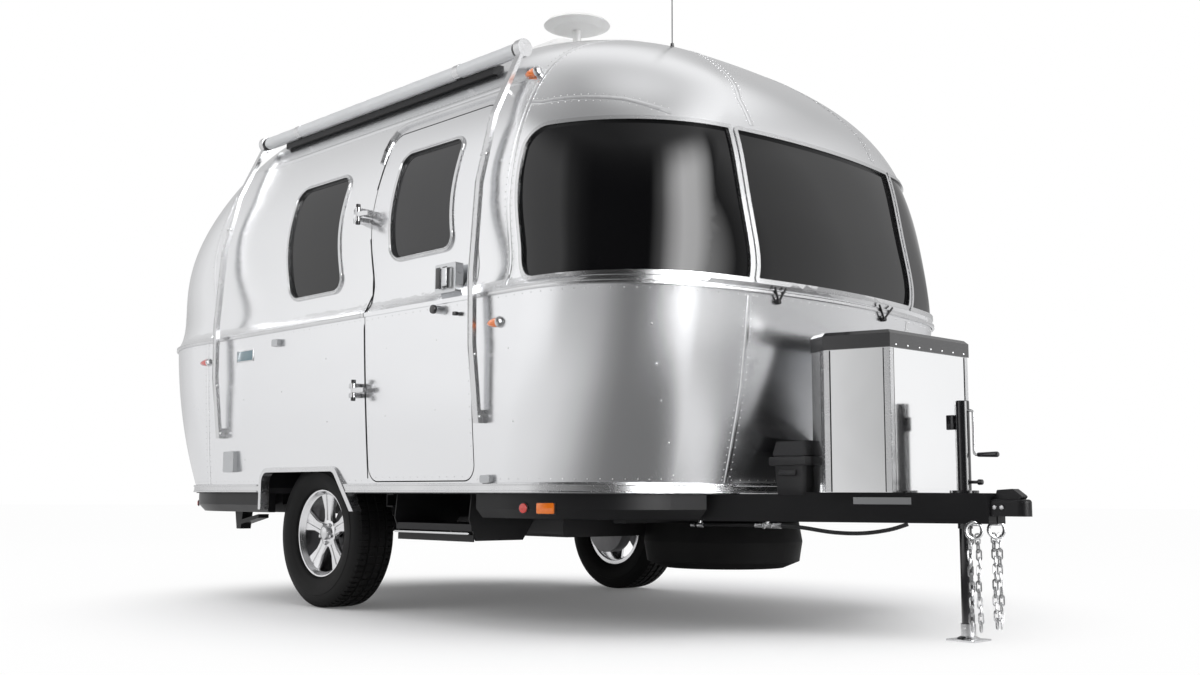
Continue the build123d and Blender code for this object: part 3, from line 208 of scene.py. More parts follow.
@dataclass(frozen=True)
class Finish:
    """Procedural finish of one kind of surface, its depths in metres."""

    name: str
    slot: str
    color: Point
    shade: Point
    metallic: float = 0.0
    rough: Pair = (0.4, 0.5)
    patch_scale: float = 3.0
    patch_depth: float = 0.0
    grain_scale: float = 500.0
    grain_depth: float = 0.00002
    stretch: Point = (1.0, 1.0, 1.0)
    coat: float = 0.0
    dust: float = 0.0
    dust_top: float = 0.8
    specular: float = 0.5

    def material(self) -> bpy.types.Material:
        """The finish as a node material, made on the first call."""
        found = bpy.data.materials.get(self.name)
        if found:
            return found
        material = bpy.data.materials.new(self.name)
        material.use_nodes = True
        tree = material.node_tree
        links, shader = tree.links, tree.nodes["Principled BSDF"]
        coords = shader_node(tree, "TexCoord")
        turn = shader_node(tree, "Mapping", {"Scale": self.stretch})
        links.new(coords.outputs["Object"], turn.inputs["Vector"])
        group = tree.nodes.new("ShaderNodeGroup")
        group.node_tree = surface_group()
        for name, value in (
            ("Color", (*self.color, 1.0)), ("Shade", (*self.shade, 1.0)),
            ("Patch Scale", self.patch_scale), ("Patch Depth", self.patch_depth),
            ("Grain Scale", self.grain_scale), ("Grain Depth", self.grain_depth),
            ("Rough Low", self.rough[0]), ("Rough High", self.rough[1]),
        ):
            group.inputs[name].default_value = value
        links.new(turn.outputs[0], group.inputs["Vector"])
        for name, value in (("Metallic", self.metallic), ("Coat Weight", self.coat), ("Coat Roughness", 0.06),
                            ("Specular IOR Level", self.specular)):
            shader.inputs[name].default_value = value
        color = group.outputs["Color"]
        if self.dust > 0.0:
            dust = tree.nodes.new("ShaderNodeGroup")
            dust.node_tree = dust_group()
            dust.inputs["Top"].default_value = self.dust_top
            dust.inputs["Amount"].default_value = self.dust
            links.new(coords.outputs["Object"], dust.inputs["Vector"])
            mix = shader_node(tree, "Mix", data_type="RGBA")
            mix.inputs[7].default_value = DUST_COLOR
            links.new(dust.outputs["Mask"], mix.inputs[0])
            links.new(color, mix.inputs[6])
            color = mix.outputs[2]
        links.new(color, shader.inputs["Base Color"])
        links.new(group.outputs["Roughness"], shader.inputs["Roughness"])
        bump = shader_node(tree, "Bump", {"Distance": 1.0})
        links.new(group.outputs["Height"], bump.inputs["Height"])
        links.new(bump.outputs[0], shader.inputs["Normal"])
        return material


DUST_COLOR = (0.30, 0.27, 0.23, 1.0)
SKIN = Finish("satin sheet", "skin_aluminium", (0.86, 0.865, 0.875), (0.80, 0.805, 0.815), 1.0,
              (0.19, 0.26), 1.1, 0.0016, 160.0, 0.000004, (0.5, 0.5, 2.0))
SKIN_LOW = Finish("satin sheet low", "skin_aluminium", (0.85, 0.855, 0.865), (0.78, 0.785, 0.80), 1.0,
                  (0.20, 0.28), 1.0, 0.0018, 160.0, 0.000005, (0.5, 0.5, 2.0), dust=0.06, dust_top=0.7)
TRIM = Finish("bright extrusion", "trim_aluminium", (0.72, 0.725, 0.73), (0.62, 0.62, 0.63), 1.0,
              (0.20, 0.32), 6.0, 0.0, 300.0, 0.000008)
RIVET = Finish("rivet heads", "trim_aluminium", (0.80, 0.80, 0.81), (0.70, 0.70, 0.71), 1.0,
               (0.25, 0.4), 30.0, 0.0, 900.0, 0.000006)
PLATE = Finish("brushed plate", "brushed_plate", (0.70, 0.71, 0.72), (0.60, 0.61, 0.62), 1.0,
               (0.25, 0.38), 12.0, 0.0, 260.0, 0.00001, (0.1, 1.0, 6.0))
BOX_SHEET = Finish("polished box sheet", "polished_box", (0.90, 0.905, 0.91), (0.86, 0.865, 0.87), 1.0,
                   (0.07, 0.14), 1.6, 0.0012, 240.0, 0.000004)
GLASS = Finish("tinted glass", "tinted_glass", (0.003, 0.003, 0.0035), (0.005, 0.005, 0.0055), 0.0,
               (0.015, 0.03), 2.0, 0.0002, 60.0, 0.0, specular=0.42)
SHADE_GLASS = Finish("grey tinted glass", "tinted_glass", (0.018, 0.018, 0.019), (0.026, 0.026, 0.027), 0.0,
                     (0.05, 0.09), 2.0, 0.0002, 60.0, 0.0, specular=0.4)
BLACK_PAINT = Finish("satin black paint", "black_metal", (0.009, 0.009, 0.010), (0.015, 0.015, 0.016), 0.0,
                     (0.28, 0.42), 5.0, 0.0, 420.0, 0.00003, dust=0.015, specular=0.22)
GLOSS_BLACK = Finish("gloss black paint", "black_metal", (0.010, 0.010, 0.011), (0.016, 0.016, 0.018), 0.0,
                     (0.10, 0.18), 5.0, 0.0, 420.0, 0.000008, coat=0.5)
LID_BLACK = Finish("lid paint", "black_lid", (0.014, 0.014, 0.015), (0.022, 0.022, 0.024), 0.0,
                   (0.18, 0.28), 5.0, 0.0, 520.0, 0.00003, coat=0.7)
BOARD = Finish("under board", "floor_board", (0.030, 0.030, 0.033), (0.045, 0.045, 0.048), 0.0,
               (0.6, 0.8), 6.0, 0.0, 300.0, 0.00008, dust=0.08, specular=0.2)
RUBBER = Finish("tyre rubber", "tyre_rubber", (0.006, 0.006, 0.0065), (0.012, 0.012, 0.012), 0.0,
                (0.5, 0.7), 9.0, 0.0, 700.0, 0.00006, dust=0.02, dust_top=0.5, specular=0.14)
HOSE_RUBBER = Finish("hose rubber", "tyre_rubber", (0.014, 0.014, 0.015), (0.022, 0.022, 0.023), 0.0,
                     (0.35, 0.5), 20.0, 0.0, 900.0, 0.00003)
SEAL = Finish("black seal", "black_metal", (0.012, 0.012, 0.013), (0.02, 0.02, 0.021), 0.0,
              (0.5, 0.65), 12.0, 0.0, 800.0, 0.00003)
ALLOY = Finish("machined alloy", "wheel_alloy", (0.80, 0.80, 0.81), (0.70, 0.70, 0.71), 1.0,
               (0.15, 0.28), 14.0, 0.0, 350.0, 0.00001, coat=0.4)
ALLOY_DARK = Finish("cast alloy", "wheel_alloy", (0.34, 0.34, 0.35), (0.24, 0.24, 0.25), 0.8,
                    (0.4, 0.55), 14.0, 0.0, 500.0, 0.00005, dust=0.2)
ZINC = Finish("bright zinc", "zinc_steel", (0.74, 0.745, 0.75), (0.60, 0.60, 0.61), 1.0,
              (0.2, 0.4), 40.0, 0.0, 700.0, 0.00002)
BATTERY = Finish("grained black plastic", "black_plastic", (0.022, 0.022, 0.024), (0.034, 0.034, 0.036), 0.0,
                 (0.45, 0.6), 9.0, 0.0, 650.0, 0.00012, dust=0.06, dust_top=1.0)
GREY_PLASTIC = Finish("grey plastic", "grey_plastic", (0.48, 0.49, 0.50), (0.42, 0.43, 0.44), 0.0,
                      (0.4, 0.5), 9.0, 0.0, 700.0, 0.00003)
WHITE_PLASTIC = Finish("white plastic", "white_plastic", (0.82, 0.82, 0.81), (0.76, 0.76, 0.75), 0.0,
                       (0.25, 0.38), 4.0, 0.0, 500.0, 0.00003, coat=0.3)
BOTTLE_PAINT = Finish("bottle paint", "white_paint", (0.80, 0.80, 0.78), (0.74, 0.74, 0.72), 0.0,
                      (0.25, 0.35), 6.0, 0.0, 500.0, 0.00003, coat=0.5)
AWNING = Finish("rolled awning cloth", "awning_grey", (0.66, 0.67, 0.68), (0.58, 0.59, 0.60), 0.35,
                (0.32, 0.45), 7.0, 0.0005, 900.0, 0.00006, (1.0, 3.0, 3.0))
AMBER = Finish("amber lens", "amber_lens", (0.72, 0.13, 0.006), (0.86, 0.22, 0.012), 0.0,
               (0.05, 0.12), 60.0, 0.0008, 200.0, 0.00004, coat=1.0)
RED = Finish("red lens", "red_lens", (0.46, 0.018, 0.012), (0.62, 0.03, 0.02), 0.0,
             (0.05, 0.12), 60.0, 0.0008, 200.0, 0.00004, coat=1.0)
BADGE = Finish("blank badge enamel", "brushed_plate", (0.10, 0.17, 0.20), (0.14, 0.22, 0.25), 0.2,
               (0.15, 0.25), 30.0, 0.0, 600.0, 0.00001, coat=0.8)


class BodyLaw:
    """Smooth law of the body's outline by height, which gives exact surface normals.

    Each row holds a height, the half width, the front, the rear and the two corner radii.
    """

    BOW = 3.2
    MIDDLE = -0.4
    TOP = 2.6295
    SAMPLES = 60
    BELT = (1.330, 1.200, 1.688, -2.485, 0.575, 0.800)
    LOWER = ((0.560, 1.155, 1.485, -2.285, 0.550, 0.800), (0.950, 1.183, 1.610, -2.437, 0.560, 0.800), BELT)
    UPPER = (BELT, (1.670, 1.175, 1.667, -2.445, 0.620, 0.800),
             (1.970, 1.125, 1.602, -2.341, 0.655, 0.800), (2.200, 1.038, 1.476, -2.164, 0.680, 0.800),
             (2.380, 0.928, 1.274, -1.926, 0.650, 0.780), (2.500, 0.768, 1.068, -1.667, 0.560, 0.640),
             (2.590, 0.540, 0.731, -1.317, 0.385, 0.430), (2.630, 0.270, 0.313, -0.917, 0.120, 0.200))

    def __init__(self) -> None:
        """Samples both lofts finely, each by its own length along the rows."""
        self.lower, self.upper = self._sampled(self.LOWER), self._sampled(self.UPPER)

    @classmethod
    def _sampled(cls, rows: Sequence[Sequence[float]]) -> list[list[float]]:
        """Rows between the given ones on a smooth curve through them.

        Args:
            rows: Rows of the law from the lowest up.

        Returns:
            Many rows, evenly shared out between the given ones.
        """
        places = [0.0]
        for a, b in zip(rows, rows[1:]):
            places.append(places[-1] + math.dist(a[:4], b[:4]))
        last = len(rows) - 1
        slopes = []
        for i in range(len(rows)):
            low, high = max(i - 1, 0), min(i + 1, last)
            span = places[high] - places[low]
            slopes.append([(b - a) / span for a, b in zip(rows[low], rows[high])])
        out = []
        for i in range(last):
            width = places[i + 1] - places[i]
            for k in range(cls.SAMPLES):
                t = k / cls.SAMPLES
                h = (2 * t**3 - 3 * t**2 + 1, t**3 - 2 * t**2 + t, -2 * t**3 + 3 * t**2, t**3 - t**2)
                out.append([
                    h[0] * p + h[1] * width * m + h[2] * q + h[3] * width * n
                    for p, m, q, n in zip(rows[i], slopes[i], rows[i + 1], slopes[i + 1])
                ])
        out.append(list(rows[-1]))
        return out

    def _support(self, row: Sequence[float], front: bool, angle: float, region: int) -> float:
        """Distance of the outline's tangent from the origin, in one of its regions."""
        half, nose, radius = row[1], (row[2] if front else -row[3]), (row[4] if front else row[5])
        if region == 0:
            return half
        across, along = half - radius, self.BOW - radius
        centre = nose - self.BOW + math.sqrt(max(along**2 - across**2, 0.0))
        if region == 1:
            return centre * math.cos(angle) + across * math.sin(angle) + radius
        return (nose - self.BOW) * math.cos(angle) + self.BOW

    def normal(self, p: Vector, below: bool = False) -> Vector:
        """Outward normal of the smooth body beside a point on or near its skin.

        Args:
            p: The point.
            below: Whether the point belongs to the body under the belt at any height.

        Returns:
            The unit normal.
        """
        if p.z > self.TOP:
            return Vector((0.0, 0.0, 1.0))
        table = self.lower if below or p.z < self.BELT[0] else self.upper
        at = min(max(bisect_left([r[0] for r in table], p.z), 1), len(table) - 1)
        low, high = table[at - 1], table[at]
        middle = [(a + b) / 2 for a, b in zip(low, high)]
        front = p.x > self.MIDDLE
        x = p.x if front else -p.x
        nose, radius = (middle[2] if front else -middle[3]), (middle[4] if front else middle[5])
        across, along = middle[1] - radius, self.BOW - radius
        centre = nose - self.BOW + math.sqrt(max(along**2 - across**2, 0.0))
        y = abs(p.y)
        turn = math.atan2(across, centre - (nose - self.BOW))
        region, angle = 0, math.pi / 2
        if x > centre:
            angle = math.atan2(y - across, x - centre)
            region = 1
            if angle < turn:
                region, angle = 2, math.atan2(y, x - (nose - self.BOW))
        rise = high[0] - low[0]
        slope = (self._support(high, front, angle, region) - self._support(low, front, angle, region)) / rise
        n = Vector((math.cos(angle) * (1 if front else -1), math.copysign(math.sin(angle), p.y), -slope))
        return n.normalized()


class SkinMap:
    """Finds points on the frame's outer surfaces by rays."""

    FAR = 3.0

    def __init__(self, nodes: dict[str, bpy.types.Object], names: Sequence[str]) -> None:
        """Joins the named nodes into one search tree.

        Args:
            nodes: The frame's nodes by name.
            names: The nodes to search.
        """
        points: list[Vector] = []
        faces: list[tuple[int, ...]] = []
        for name in names:
            start = len(points)
            mesh = nodes[name].data
            points.extend(v.co.copy() for v in mesh.vertices)
            faces.extend(tuple(start + i for i in face.vertices) for face in mesh.polygons)
        self.tree = BVHTree.FromPolygons(points, faces)

    def cast(self, origin: Sequence[float], heading: Sequence[float]) -> Station | None:
        """First surface point along a ray, with its normal, or None."""
        point, normal, _, _ = self.tree.ray_cast(Vector(origin), Vector(heading).normalized())
        return None if point is None else (point, normal)

    def inwards(self, p: Sequence[float], core: Sequence[float]) -> Station | None:
        """First surface point on the line from far outside through p to a core point."""
        core = Vector(core)
        out = (Vector(p) - core).normalized()
        return self.cast(core + out * self.FAR, -out)

    def project(self, p: Sequence[float]) -> Station | None:
        """Point of the skin beside p, looked for towards the cabin's middle line."""
        return self.inwards(p, (max(-1.2, min(0.6, p[0])), 0.0, max(0.9, min(1.6, p[2]))))

    def level(self, p: Sequence[float]) -> Station | None:
        """Point of the skin beside p at p's own height."""
        return self.inwards(p, (max(-1.6, min(0.9, p[0])), 0.0, p[2]))


def divided(points: Sequence[Sequence[float]], step: float) -> list[Vector]:
    """Points along straight runs, about a step apart."""
    out: list[Vector] = []
    for a, b in zip(points, points[1:]):
        a, b = Vector(a), Vector(b)
        count = max(1, round((b - a).length / step))
        out.extend(a.lerp(b, k / count) for k in range(count))
    out.append(Vector(points[-1]))
    return out


def rounded_loop(x: Pair, z: Pair, radius: float, steps: int = 6) -> list[Pair]:
    """Closed rectangle with round corners, its first point repeated at the end."""
    out = []
    for cx, cz, start in ((x[1] - radius, z[1] - radius, 0), (x[0] + radius, z[1] - radius, 90),
                          (x[0] + radius, z[0] + radius, 180), (x[1] - radius, z[0] + radius, 270)):
        for k in range(steps + 1):
            a = math.radians(start + 90 * k / steps)
            out.append((cx + radius * math.cos(a), cz + radius * math.sin(a)))
    return [*out, out[0]]


def circle(radius: float, sides: int) -> list[Pair]:
    """Corners of a round section."""
    turns = [math.tau * k / sides for k in range(sides)]
    return [(radius * math.cos(a), radius * math.sin(a)) for a in turns]


def flat_bar(half_width: float, low: float, high: float) -> tuple[Pair, ...]:
    """Corners of an oblong section between two heights."""
    return (-half_width, low), (half_width, low), (half_width, high), (-half_width, high)


def axes_matrix(axes: Sequence[Sequence[float]], at: Sequence[float]) -> Matrix:
    """Matrix that turns X, Y and Z into three axes and moves the origin to a place."""
    place = Matrix(axes).transposed().to_4x4()
    place.translation = at
    return place


def spline(points: Sequence[Vector], cuts: int) -> list[Vector]:
    """Smooth path through points, with a number of steps from each to the next."""
    out = [points[0]]
    for a, b, c, d in zip([points[0], *points], points, points[1:], [*points[2:], points[-1]]):
        for k in range(1, cuts + 1):
            t = k / cuts
            out.append(0.5 * (2 * b + (c - a) * t + (2 * a - 5 * b + 4 * c - d) * t**2
                              + (3 * b - 3 * c + d - a) * t**3))
    return out


def sweep(bm: bmesh.types.BMesh, profile: Sequence[Pair], stations: Sequence[Station]) -> None:
    """Sweeps a closed profile along stations, its x across the path and its y along the normal.

    Args:
        bm: The mesh that gets the solid.
        profile: Corners of the section.
        stations: Points of the path with the surface's normals.
    """
    own = bmesh.new()
    places = []
    for i, (point, normal) in enumerate(stations):
        ahead = stations[min(i + 1, len(stations) - 1)][0] - stations[max(i - 1, 0)][0]
        along = ahead.normalized()
        across = along.cross(normal).normalized()
        out = across.cross(along).normalized()
        places.append(axes_matrix((across, out, -along), point))
    verts = [own.verts.new((x, y, 0.0)) for x, y in profile]
    face = own.faces.new(verts)
    bmesh.ops.transform(own, matrix=places[0], verts=verts)
    for before, place in zip(places, places[1:]):
        made = bmesh.ops.extrude_face_region(own, geom=[face])["geom"]
        verts = [g for g in made if isinstance(g, bmesh.types.BMVert)]
        face = next(g for g in made if isinstance(g, bmesh.types.BMFace))
        bmesh.ops.transform(own, matrix=place @ before.inverted(), verts=verts)
    bmesh.ops.recalc_face_normals(own, faces=own.faces)
    append(bm, own)


def closed_tube(bm: bmesh.types.BMesh, path: Sequence[Vector], radius: float, sides: int) -> None:
    """Round bar bent into a closed flat loop.

    Args:
        bm: The mesh that gets the solid.
        path: Points of the loop, the first one not repeated.
        radius: The bar's radius.
        sides: Sides of its section.
    """
    own = bmesh.new()
    loops = []
    middle = sum(path, Vector()) / len(path)
    flat = (path[0] - middle).cross(path[len(path) // 4] - middle).normalized()
    for before, at, after in zip([path[-1], *path], path, [*path[1:], path[0]]):
        along = (after - before).normalized()
        place = axes_matrix((flat, along.cross(flat).normalized(), along), at)
        made = bmesh.ops.create_circle(own, segments=sides, radius=radius, matrix=place)["verts"]
        loops.append([e for e in own.edges if e.verts[0] in made and e.verts[1] in made])
    for first, second in zip(loops, [*loops[1:], loops[0]]):
        bmesh.ops.bridge_loops(own, edges=first + second)
    bmesh.ops.recalc_face_normals(own, faces=own.faces)
    append(bm, own)


def append(bm: bmesh.types.BMesh, own: bmesh.types.BMesh) -> None:
    """Moves one mesh's geometry into another and frees it."""
    carrier = bpy.data.meshes.new("carrier")
    own.to_mesh(carrier)
    own.free()
    bm.from_mesh(carrier)
    bpy.data.meshes.remove(carrier)


def rod(bm: bmesh.types.BMesh, start: Sequence[float], end: Sequence[float], radius: float,
        end_radius: float | None = None, segments: int = 20, bevel: float = 0.0) -> None:
    """Round bar or cone between two points, its end edges softened if a bevel is given."""
    own = bmesh.new()
    start, end = Vector(start), Vector(end)
    turn = (end - start).to_track_quat("Z", "Y").to_matrix().to_4x4()
    place = Matrix.Translation((start + end) / 2) @ turn
    top = radius if end_radius is None else end_radius
    bmesh.ops.create_cone(own, cap_ends=True, segments=segments, radius1=radius, radius2=top,
                          depth=(end - start).length)
    if bevel > 0:
        rims = [e for e in own.edges if abs(e.verts[0].co.z - e.verts[1].co.z) < 1e-6]
        bmesh.ops.bevel(own, geom=rims, offset=bevel, segments=2, profile=0.5, affect="EDGES", material=-1)
    bmesh.ops.transform(own, matrix=place, verts=own.verts)
    append(bm, own)


def block(bm: bmesh.types.BMesh, low: Sequence[float], high: Sequence[float], bevel: float = 0.002,
          place: Matrix | None = None) -> None:
    """Block between two corners with softened edges, then placed by a matrix."""
    own = bmesh.new()
    low, high = Vector(low), Vector(high)
    size = high - low
    shape = Matrix.Translation((low + high) / 2) @ Matrix.Diagonal((*size, 1.0))
    bmesh.ops.create_cube(own, size=1.0, matrix=shape)
    if bevel > 0:
        bmesh.ops.bevel(own, geom=own.edges[:], offset=min(bevel, min(size) * 0.45), segments=2,
                        profile=0.5, affect="EDGES", material=-1)
    if place is not None:
        bmesh.ops.transform(own, matrix=place, verts=own.verts)
    append(bm, own)


def ring(bm: bmesh.types.BMesh, profile: Sequence[Pair], centre: Sequence[float], axis: Sequence[float],
         steps: int) -> None:
    """Spins a profile of radius and height round an axis.

    Args:
        bm: The mesh that gets the ring.
        profile: Radius and height of each corner, closed if its last point is its first.
        centre: The point of the axis at height 0.
        axis: The axis, towards growing height.
        steps: Segments of the full turn.
    """
    own = bmesh.new()
    verts = [own.verts.new((r, 0.0, h)) for r, h in profile]
    edges = [own.edges.new(pair) for pair in zip(verts, verts[1:])]
    bmesh.ops.spin(own, geom=verts + edges, cent=(0, 0, 0), axis=(0, 0, 1), angle=math.tau, steps=steps,
                   use_merge=True)
    bmesh.ops.remove_doubles(own, verts=own.verts, dist=1e-5)
    bmesh.ops.recalc_face_normals(own, faces=own.faces)
    turn = Vector(axis).to_track_quat("Z", "Y").to_matrix().to_4x4()
    bmesh.ops.transform(own, matrix=Matrix.Translation(centre) @ turn, verts=own.verts)
    append(bm, own)


def dome(bm: bmesh.types.BMesh, at: Vector, normal: Vector, radius: float, height: float) -> None:
    """Low round head on a surface."""
    turn = normal.to_track_quat("Z", "Y").to_matrix().to_4x4()
    foot = Matrix.Translation(at + normal * height * 0.25) @ turn
    top = Matrix.Translation(at + normal * height * 0.75) @ turn
    bmesh.ops.create_cone(bm, cap_ends=False, segments=8, radius1=radius, radius2=radius * 0.8,
                          depth=height * 0.5, matrix=foot)
    bmesh.ops.create_cone(bm, cap_ends=True, segments=8, radius1=radius * 0.8, radius2=radius * 0.35,
                          depth=height * 0.5, matrix=top)


@dataclass
class Bench:
    """Holds the frame and turns finished meshes into pieces."""

    frame: dict
    law: BodyLaw = field(default_factory=BodyLaw)
    longest_edge: float = 0.07
    flattest: float = 0.93
    count: int = 0

    def skin_map(self, *names: str) -> SkinMap:
        """Search tree of named nodes."""
        return SkinMap(self.frame["nodes"], names)

    def lawful(self, found: Sequence[Station | None]) -> list[Station]:
        """Surface points with the body's smooth normals instead of their own, the misses left out."""
        return [(hit[0], self.law.normal(hit[0])) for hit in found if hit]

    def piece(self, name: str, bm: bmesh.types.BMesh, finish: Finish, body: Body = Body.CARAVAN,
              replaces: Sequence[str] = (), angle: float = 35.0) -> bpy.types.Object:
        """Makes an object of a mesh, gives it its finish and lets it ride on a body.

        Args:
            name: The piece's name.
            bm: Its mesh, freed here.
            finish: Its finish.
            body: The body it rides on.
            replaces: CAD nodes it stands for.
            angle: Edges sharper than this many degrees stay sharp.

        Returns:
            The new object.
        """
        mesh = bpy.data.meshes.new(name)
        bm.to_mesh(mesh)
        bm.free()
        mesh.shade_smooth()
        mesh.set_sharp_from_angle(angle=math.radians(angle))
        made = bpy.data.objects.new(name, mesh)
        bpy.context.scene.collection.objects.link(made)
        mesh.materials.append(finish.material())
        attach(made, body.value)
        if replaces:
            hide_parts(*replaces)
        self.count += 1
        LOG.info("%s: %d faces", name, len(mesh.polygons))
        return made

    def dress(self, node: str, finish: Finish) -> None:
        """Gives a CAD node its finish, its own mesh kept."""
        held = self.frame["nodes"][node]
        held.data.materials.clear()
        held.data.materials.append(finish.material())

    def smooth_skin(self, node: str, finish: Finish, body: Body = Body.CARAVAN) -> None:
        """Stands a merged and finely divided copy for a skin node, shaded by the body's smooth law.

        Args:
            node: The CAD node.
            finish: The copy's finish.
            body: The body it rides on.
        """
        bm = bmesh.new()
        bm.from_mesh(self.frame["nodes"][node].data)
        bmesh.ops.remove_doubles(bm, verts=bm.verts, dist=1e-5)
        for _ in range(4):
            long = [e for e in bm.edges if e.calc_length() > self.longest_edge]
            if not long:
                break
            bmesh.ops.subdivide_edges(bm, edges=long, cuts=1)
            bmesh.ops.triangulate(bm, faces=[f for f in bm.faces if len(f.verts) > 3])
        made = self.piece(f"{node}_smooth", bm, finish, body, [node], 25.0)
        mesh = made.data
        below = max(v.co.z for v in mesh.vertices) < self.law.BELT[0] + 0.01
        law = [self.law.normal(v.co, below) for v in mesh.vertices]
        normals = []
        for face in mesh.polygons:
            for corner in face.vertices:
                smooth = law[corner].dot(face.normal) > self.flattest
                normals.append(law[corner] if smooth else face.normal.copy())
        mesh.normals_split_custom_set(normals)


@dataclass
class Studio:
    """Floor, lamps, world and camera.

    Panels are grey levels by compass heading or height, as gloss sees them. A span holds the range of a
    value and the range that it is carried into.
    """

    camera_at: Point = (4.8029, -4.3756, 0.5305)
    lens: float = 38.7275
    right: Point = (0.6918142, 0.7220641, 0.0040626)
    up: Point = (0.0848001, -0.0868322, 0.9926072)
    ahead: Point = (-0.7170788, 0.6863553, 0.1213029)
    wall_panels: tuple[Pair, ...] = (
        (0.0, 0.70), (0.06, 0.85), (0.107, 1.08), (0.17, 1.15), (0.212, 1.15), (0.235, 0.45), (0.265, 0.14),
        (0.29, 0.03), (0.425, 0.03), (0.45, 1.4), (0.475, 7.0), (0.50, 11.0), (0.53, 10.0), (0.56, 4.6),
        (0.578, 0.25), (0.60, 0.9), (0.66, 1.05), (0.70, 0.8), (0.77, 0.55), (1.0, 0.65))
    ceiling_panels: tuple[Pair, ...] = (
        (0.0, 0.5), (0.55, 0.26), (0.64, 0.36), (0.70, 0.50), (0.77, 0.80), (0.86, 0.72), (0.95, 0.52),
        (0.985, 0.66), (1.0, 0.78))
    floor_panels: tuple[Pair, ...] = (
        (0.0, 0.80), (0.12, 0.90), (0.28, 0.80), (0.335, 0.58), (0.362, 0.34), (0.39, 0.20), (0.455, 0.17),
        (0.478, 0.34), (0.492, 0.92), (0.512, 0.92), (0.53, 0.36), (0.56, 0.34), (0.62, 0.62), (0.72, 0.85),
        (1.0, 0.80))
    ceiling_across: Span = (-0.5, 0.30, 0.42, 1.35)
    ceiling_start: Span = (0.55, 0.78, 0.0, 1.0)
    floor_radius: float = 60.0
    floor_fade: Span = (1.3, 2.7, 0.10, 0.96)
    # Painted shade that gloss sees under the caravan: the oval's centre, its reach and the carried span of
    # its brightness.
    under_centre: Pair = (-0.4, 0.0)
    under_reach: Pair = (1.9, 1.15)
    under_shade: Span = (0.88, 1.12, 0.12, 1.0)

    def build(self) -> None:
        """Sets everything round the caravan."""
        bpy.context.scene.view_settings.view_transform = "Standard"
        self._camera()
        self._world()
        self._floor()
        self._lamp("overhead softbox", (0.2, -0.6, 6.2), (0.0, 0.0, 1.2), 6.5, 150.0)
        self._lamp("side softbox", (-1.5, -7.0, 4.2), (0.0, 0.0, 1.2), 5.0, 120.0)
        self._lamp("front softbox", (7.5, 2.5, 4.0), (0.5, 0.0, 1.2), 4.0, 60.0)
        self._lamp("rear softbox", (-7.5, 3.5, 4.5), (0.0, 0.0, 1.2), 5.0, 70.0)

    def _camera(self) -> None:
        """The camera at the photograph's place."""
        data = bpy.data.cameras.new("photo camera")
        data.lens, data.sensor_width = self.lens, 36.0
        data.clip_start, data.clip_end = 0.05, 200.0
        held = bpy.data.objects.new("photo camera", data)
        bpy.context.scene.collection.objects.link(held)
        back = tuple(-c for c in self.ahead)
        held.matrix_world = axes_matrix((self.right, self.up, back), self.camera_at)
        bpy.context.scene.camera = held

    def _lamp(self, name: str, at: Point, aim: Point, size: float, power: float) -> None:
        """A square soft lamp that looks at a point and shows in no gloss."""
        data = bpy.data.lights.new(name, "AREA")
        data.shape, data.size, data.energy = "SQUARE", size, power
        held = bpy.data.objects.new(name, data)
        held.visible_glossy = False
        held.location = at
        held.rotation_euler = (Vector(aim) - Vector(at)).to_track_quat("-Z", "Y").to_euler()
        bpy.context.scene.collection.objects.link(held)

    @staticmethod
    def _ramp(tree: bpy.types.NodeTree, source: bpy.types.NodeSocket, stops: Sequence[Pair]
              ) -> bpy.types.NodeSocket:
        """Colour ramp of greys over a value.

        Args:
            tree: The node tree that gets the ramp.
            source: The socket with the value.
            stops: Place and grey level of each stop.

        Returns:
            The ramp's colour socket.
        """
        ramp = shader_node(tree, "ValToRGB")
        elements = ramp.color_ramp.elements
        while len(elements) < len(stops):
            elements.new(0.5)
        for element, (place, level) in zip(elements, stops):
            element.position = place
            element.color = (level, level, level * 1.005, 1.0)
        tree.links.new(source, ramp.inputs[0])
        return ramp.outputs[0]

    @staticmethod
    def _carried(tree: bpy.types.NodeTree, source: bpy.types.NodeSocket, span: Span, smooth: bool = True
                 ) -> bpy.types.NodeSocket:
        """Value carried from one range into another.

        Args:
            tree: The node tree.
            source: The socket with the value.
            span: The two ranges.
            smooth: Whether it eases in and out.

        Returns:
            The socket with the new value.
        """
        values = dict(zip(("From Min", "From Max", "To Min", "To Max"), span))
        made = shader_node(tree, "MapRange", values, interpolation_type="SMOOTHSTEP" if smooth else "LINEAR")
        tree.links.new(source, made.inputs["Value"])
        return made.outputs[0]

    def _compass(self, tree: bpy.types.NodeTree, split: bpy.types.Node) -> bpy.types.NodeSocket:
        """Compass heading of a vector as a share of the full turn, 0.5 towards the hitch.

        Args:
            tree: The node tree.
            split: Separate node that holds the vector's parts.

        Returns:
            The socket with the share.
        """
        angle = shader_node(tree, "Math", operation="ARCTAN2")
        tree.links.new(split.outputs["Y"], angle.inputs[0])
        tree.links.new(split.outputs["X"], angle.inputs[1])
        return self._carried(tree, angle.outputs[0], (-math.pi, math.pi, 0.0, 1.0), False)

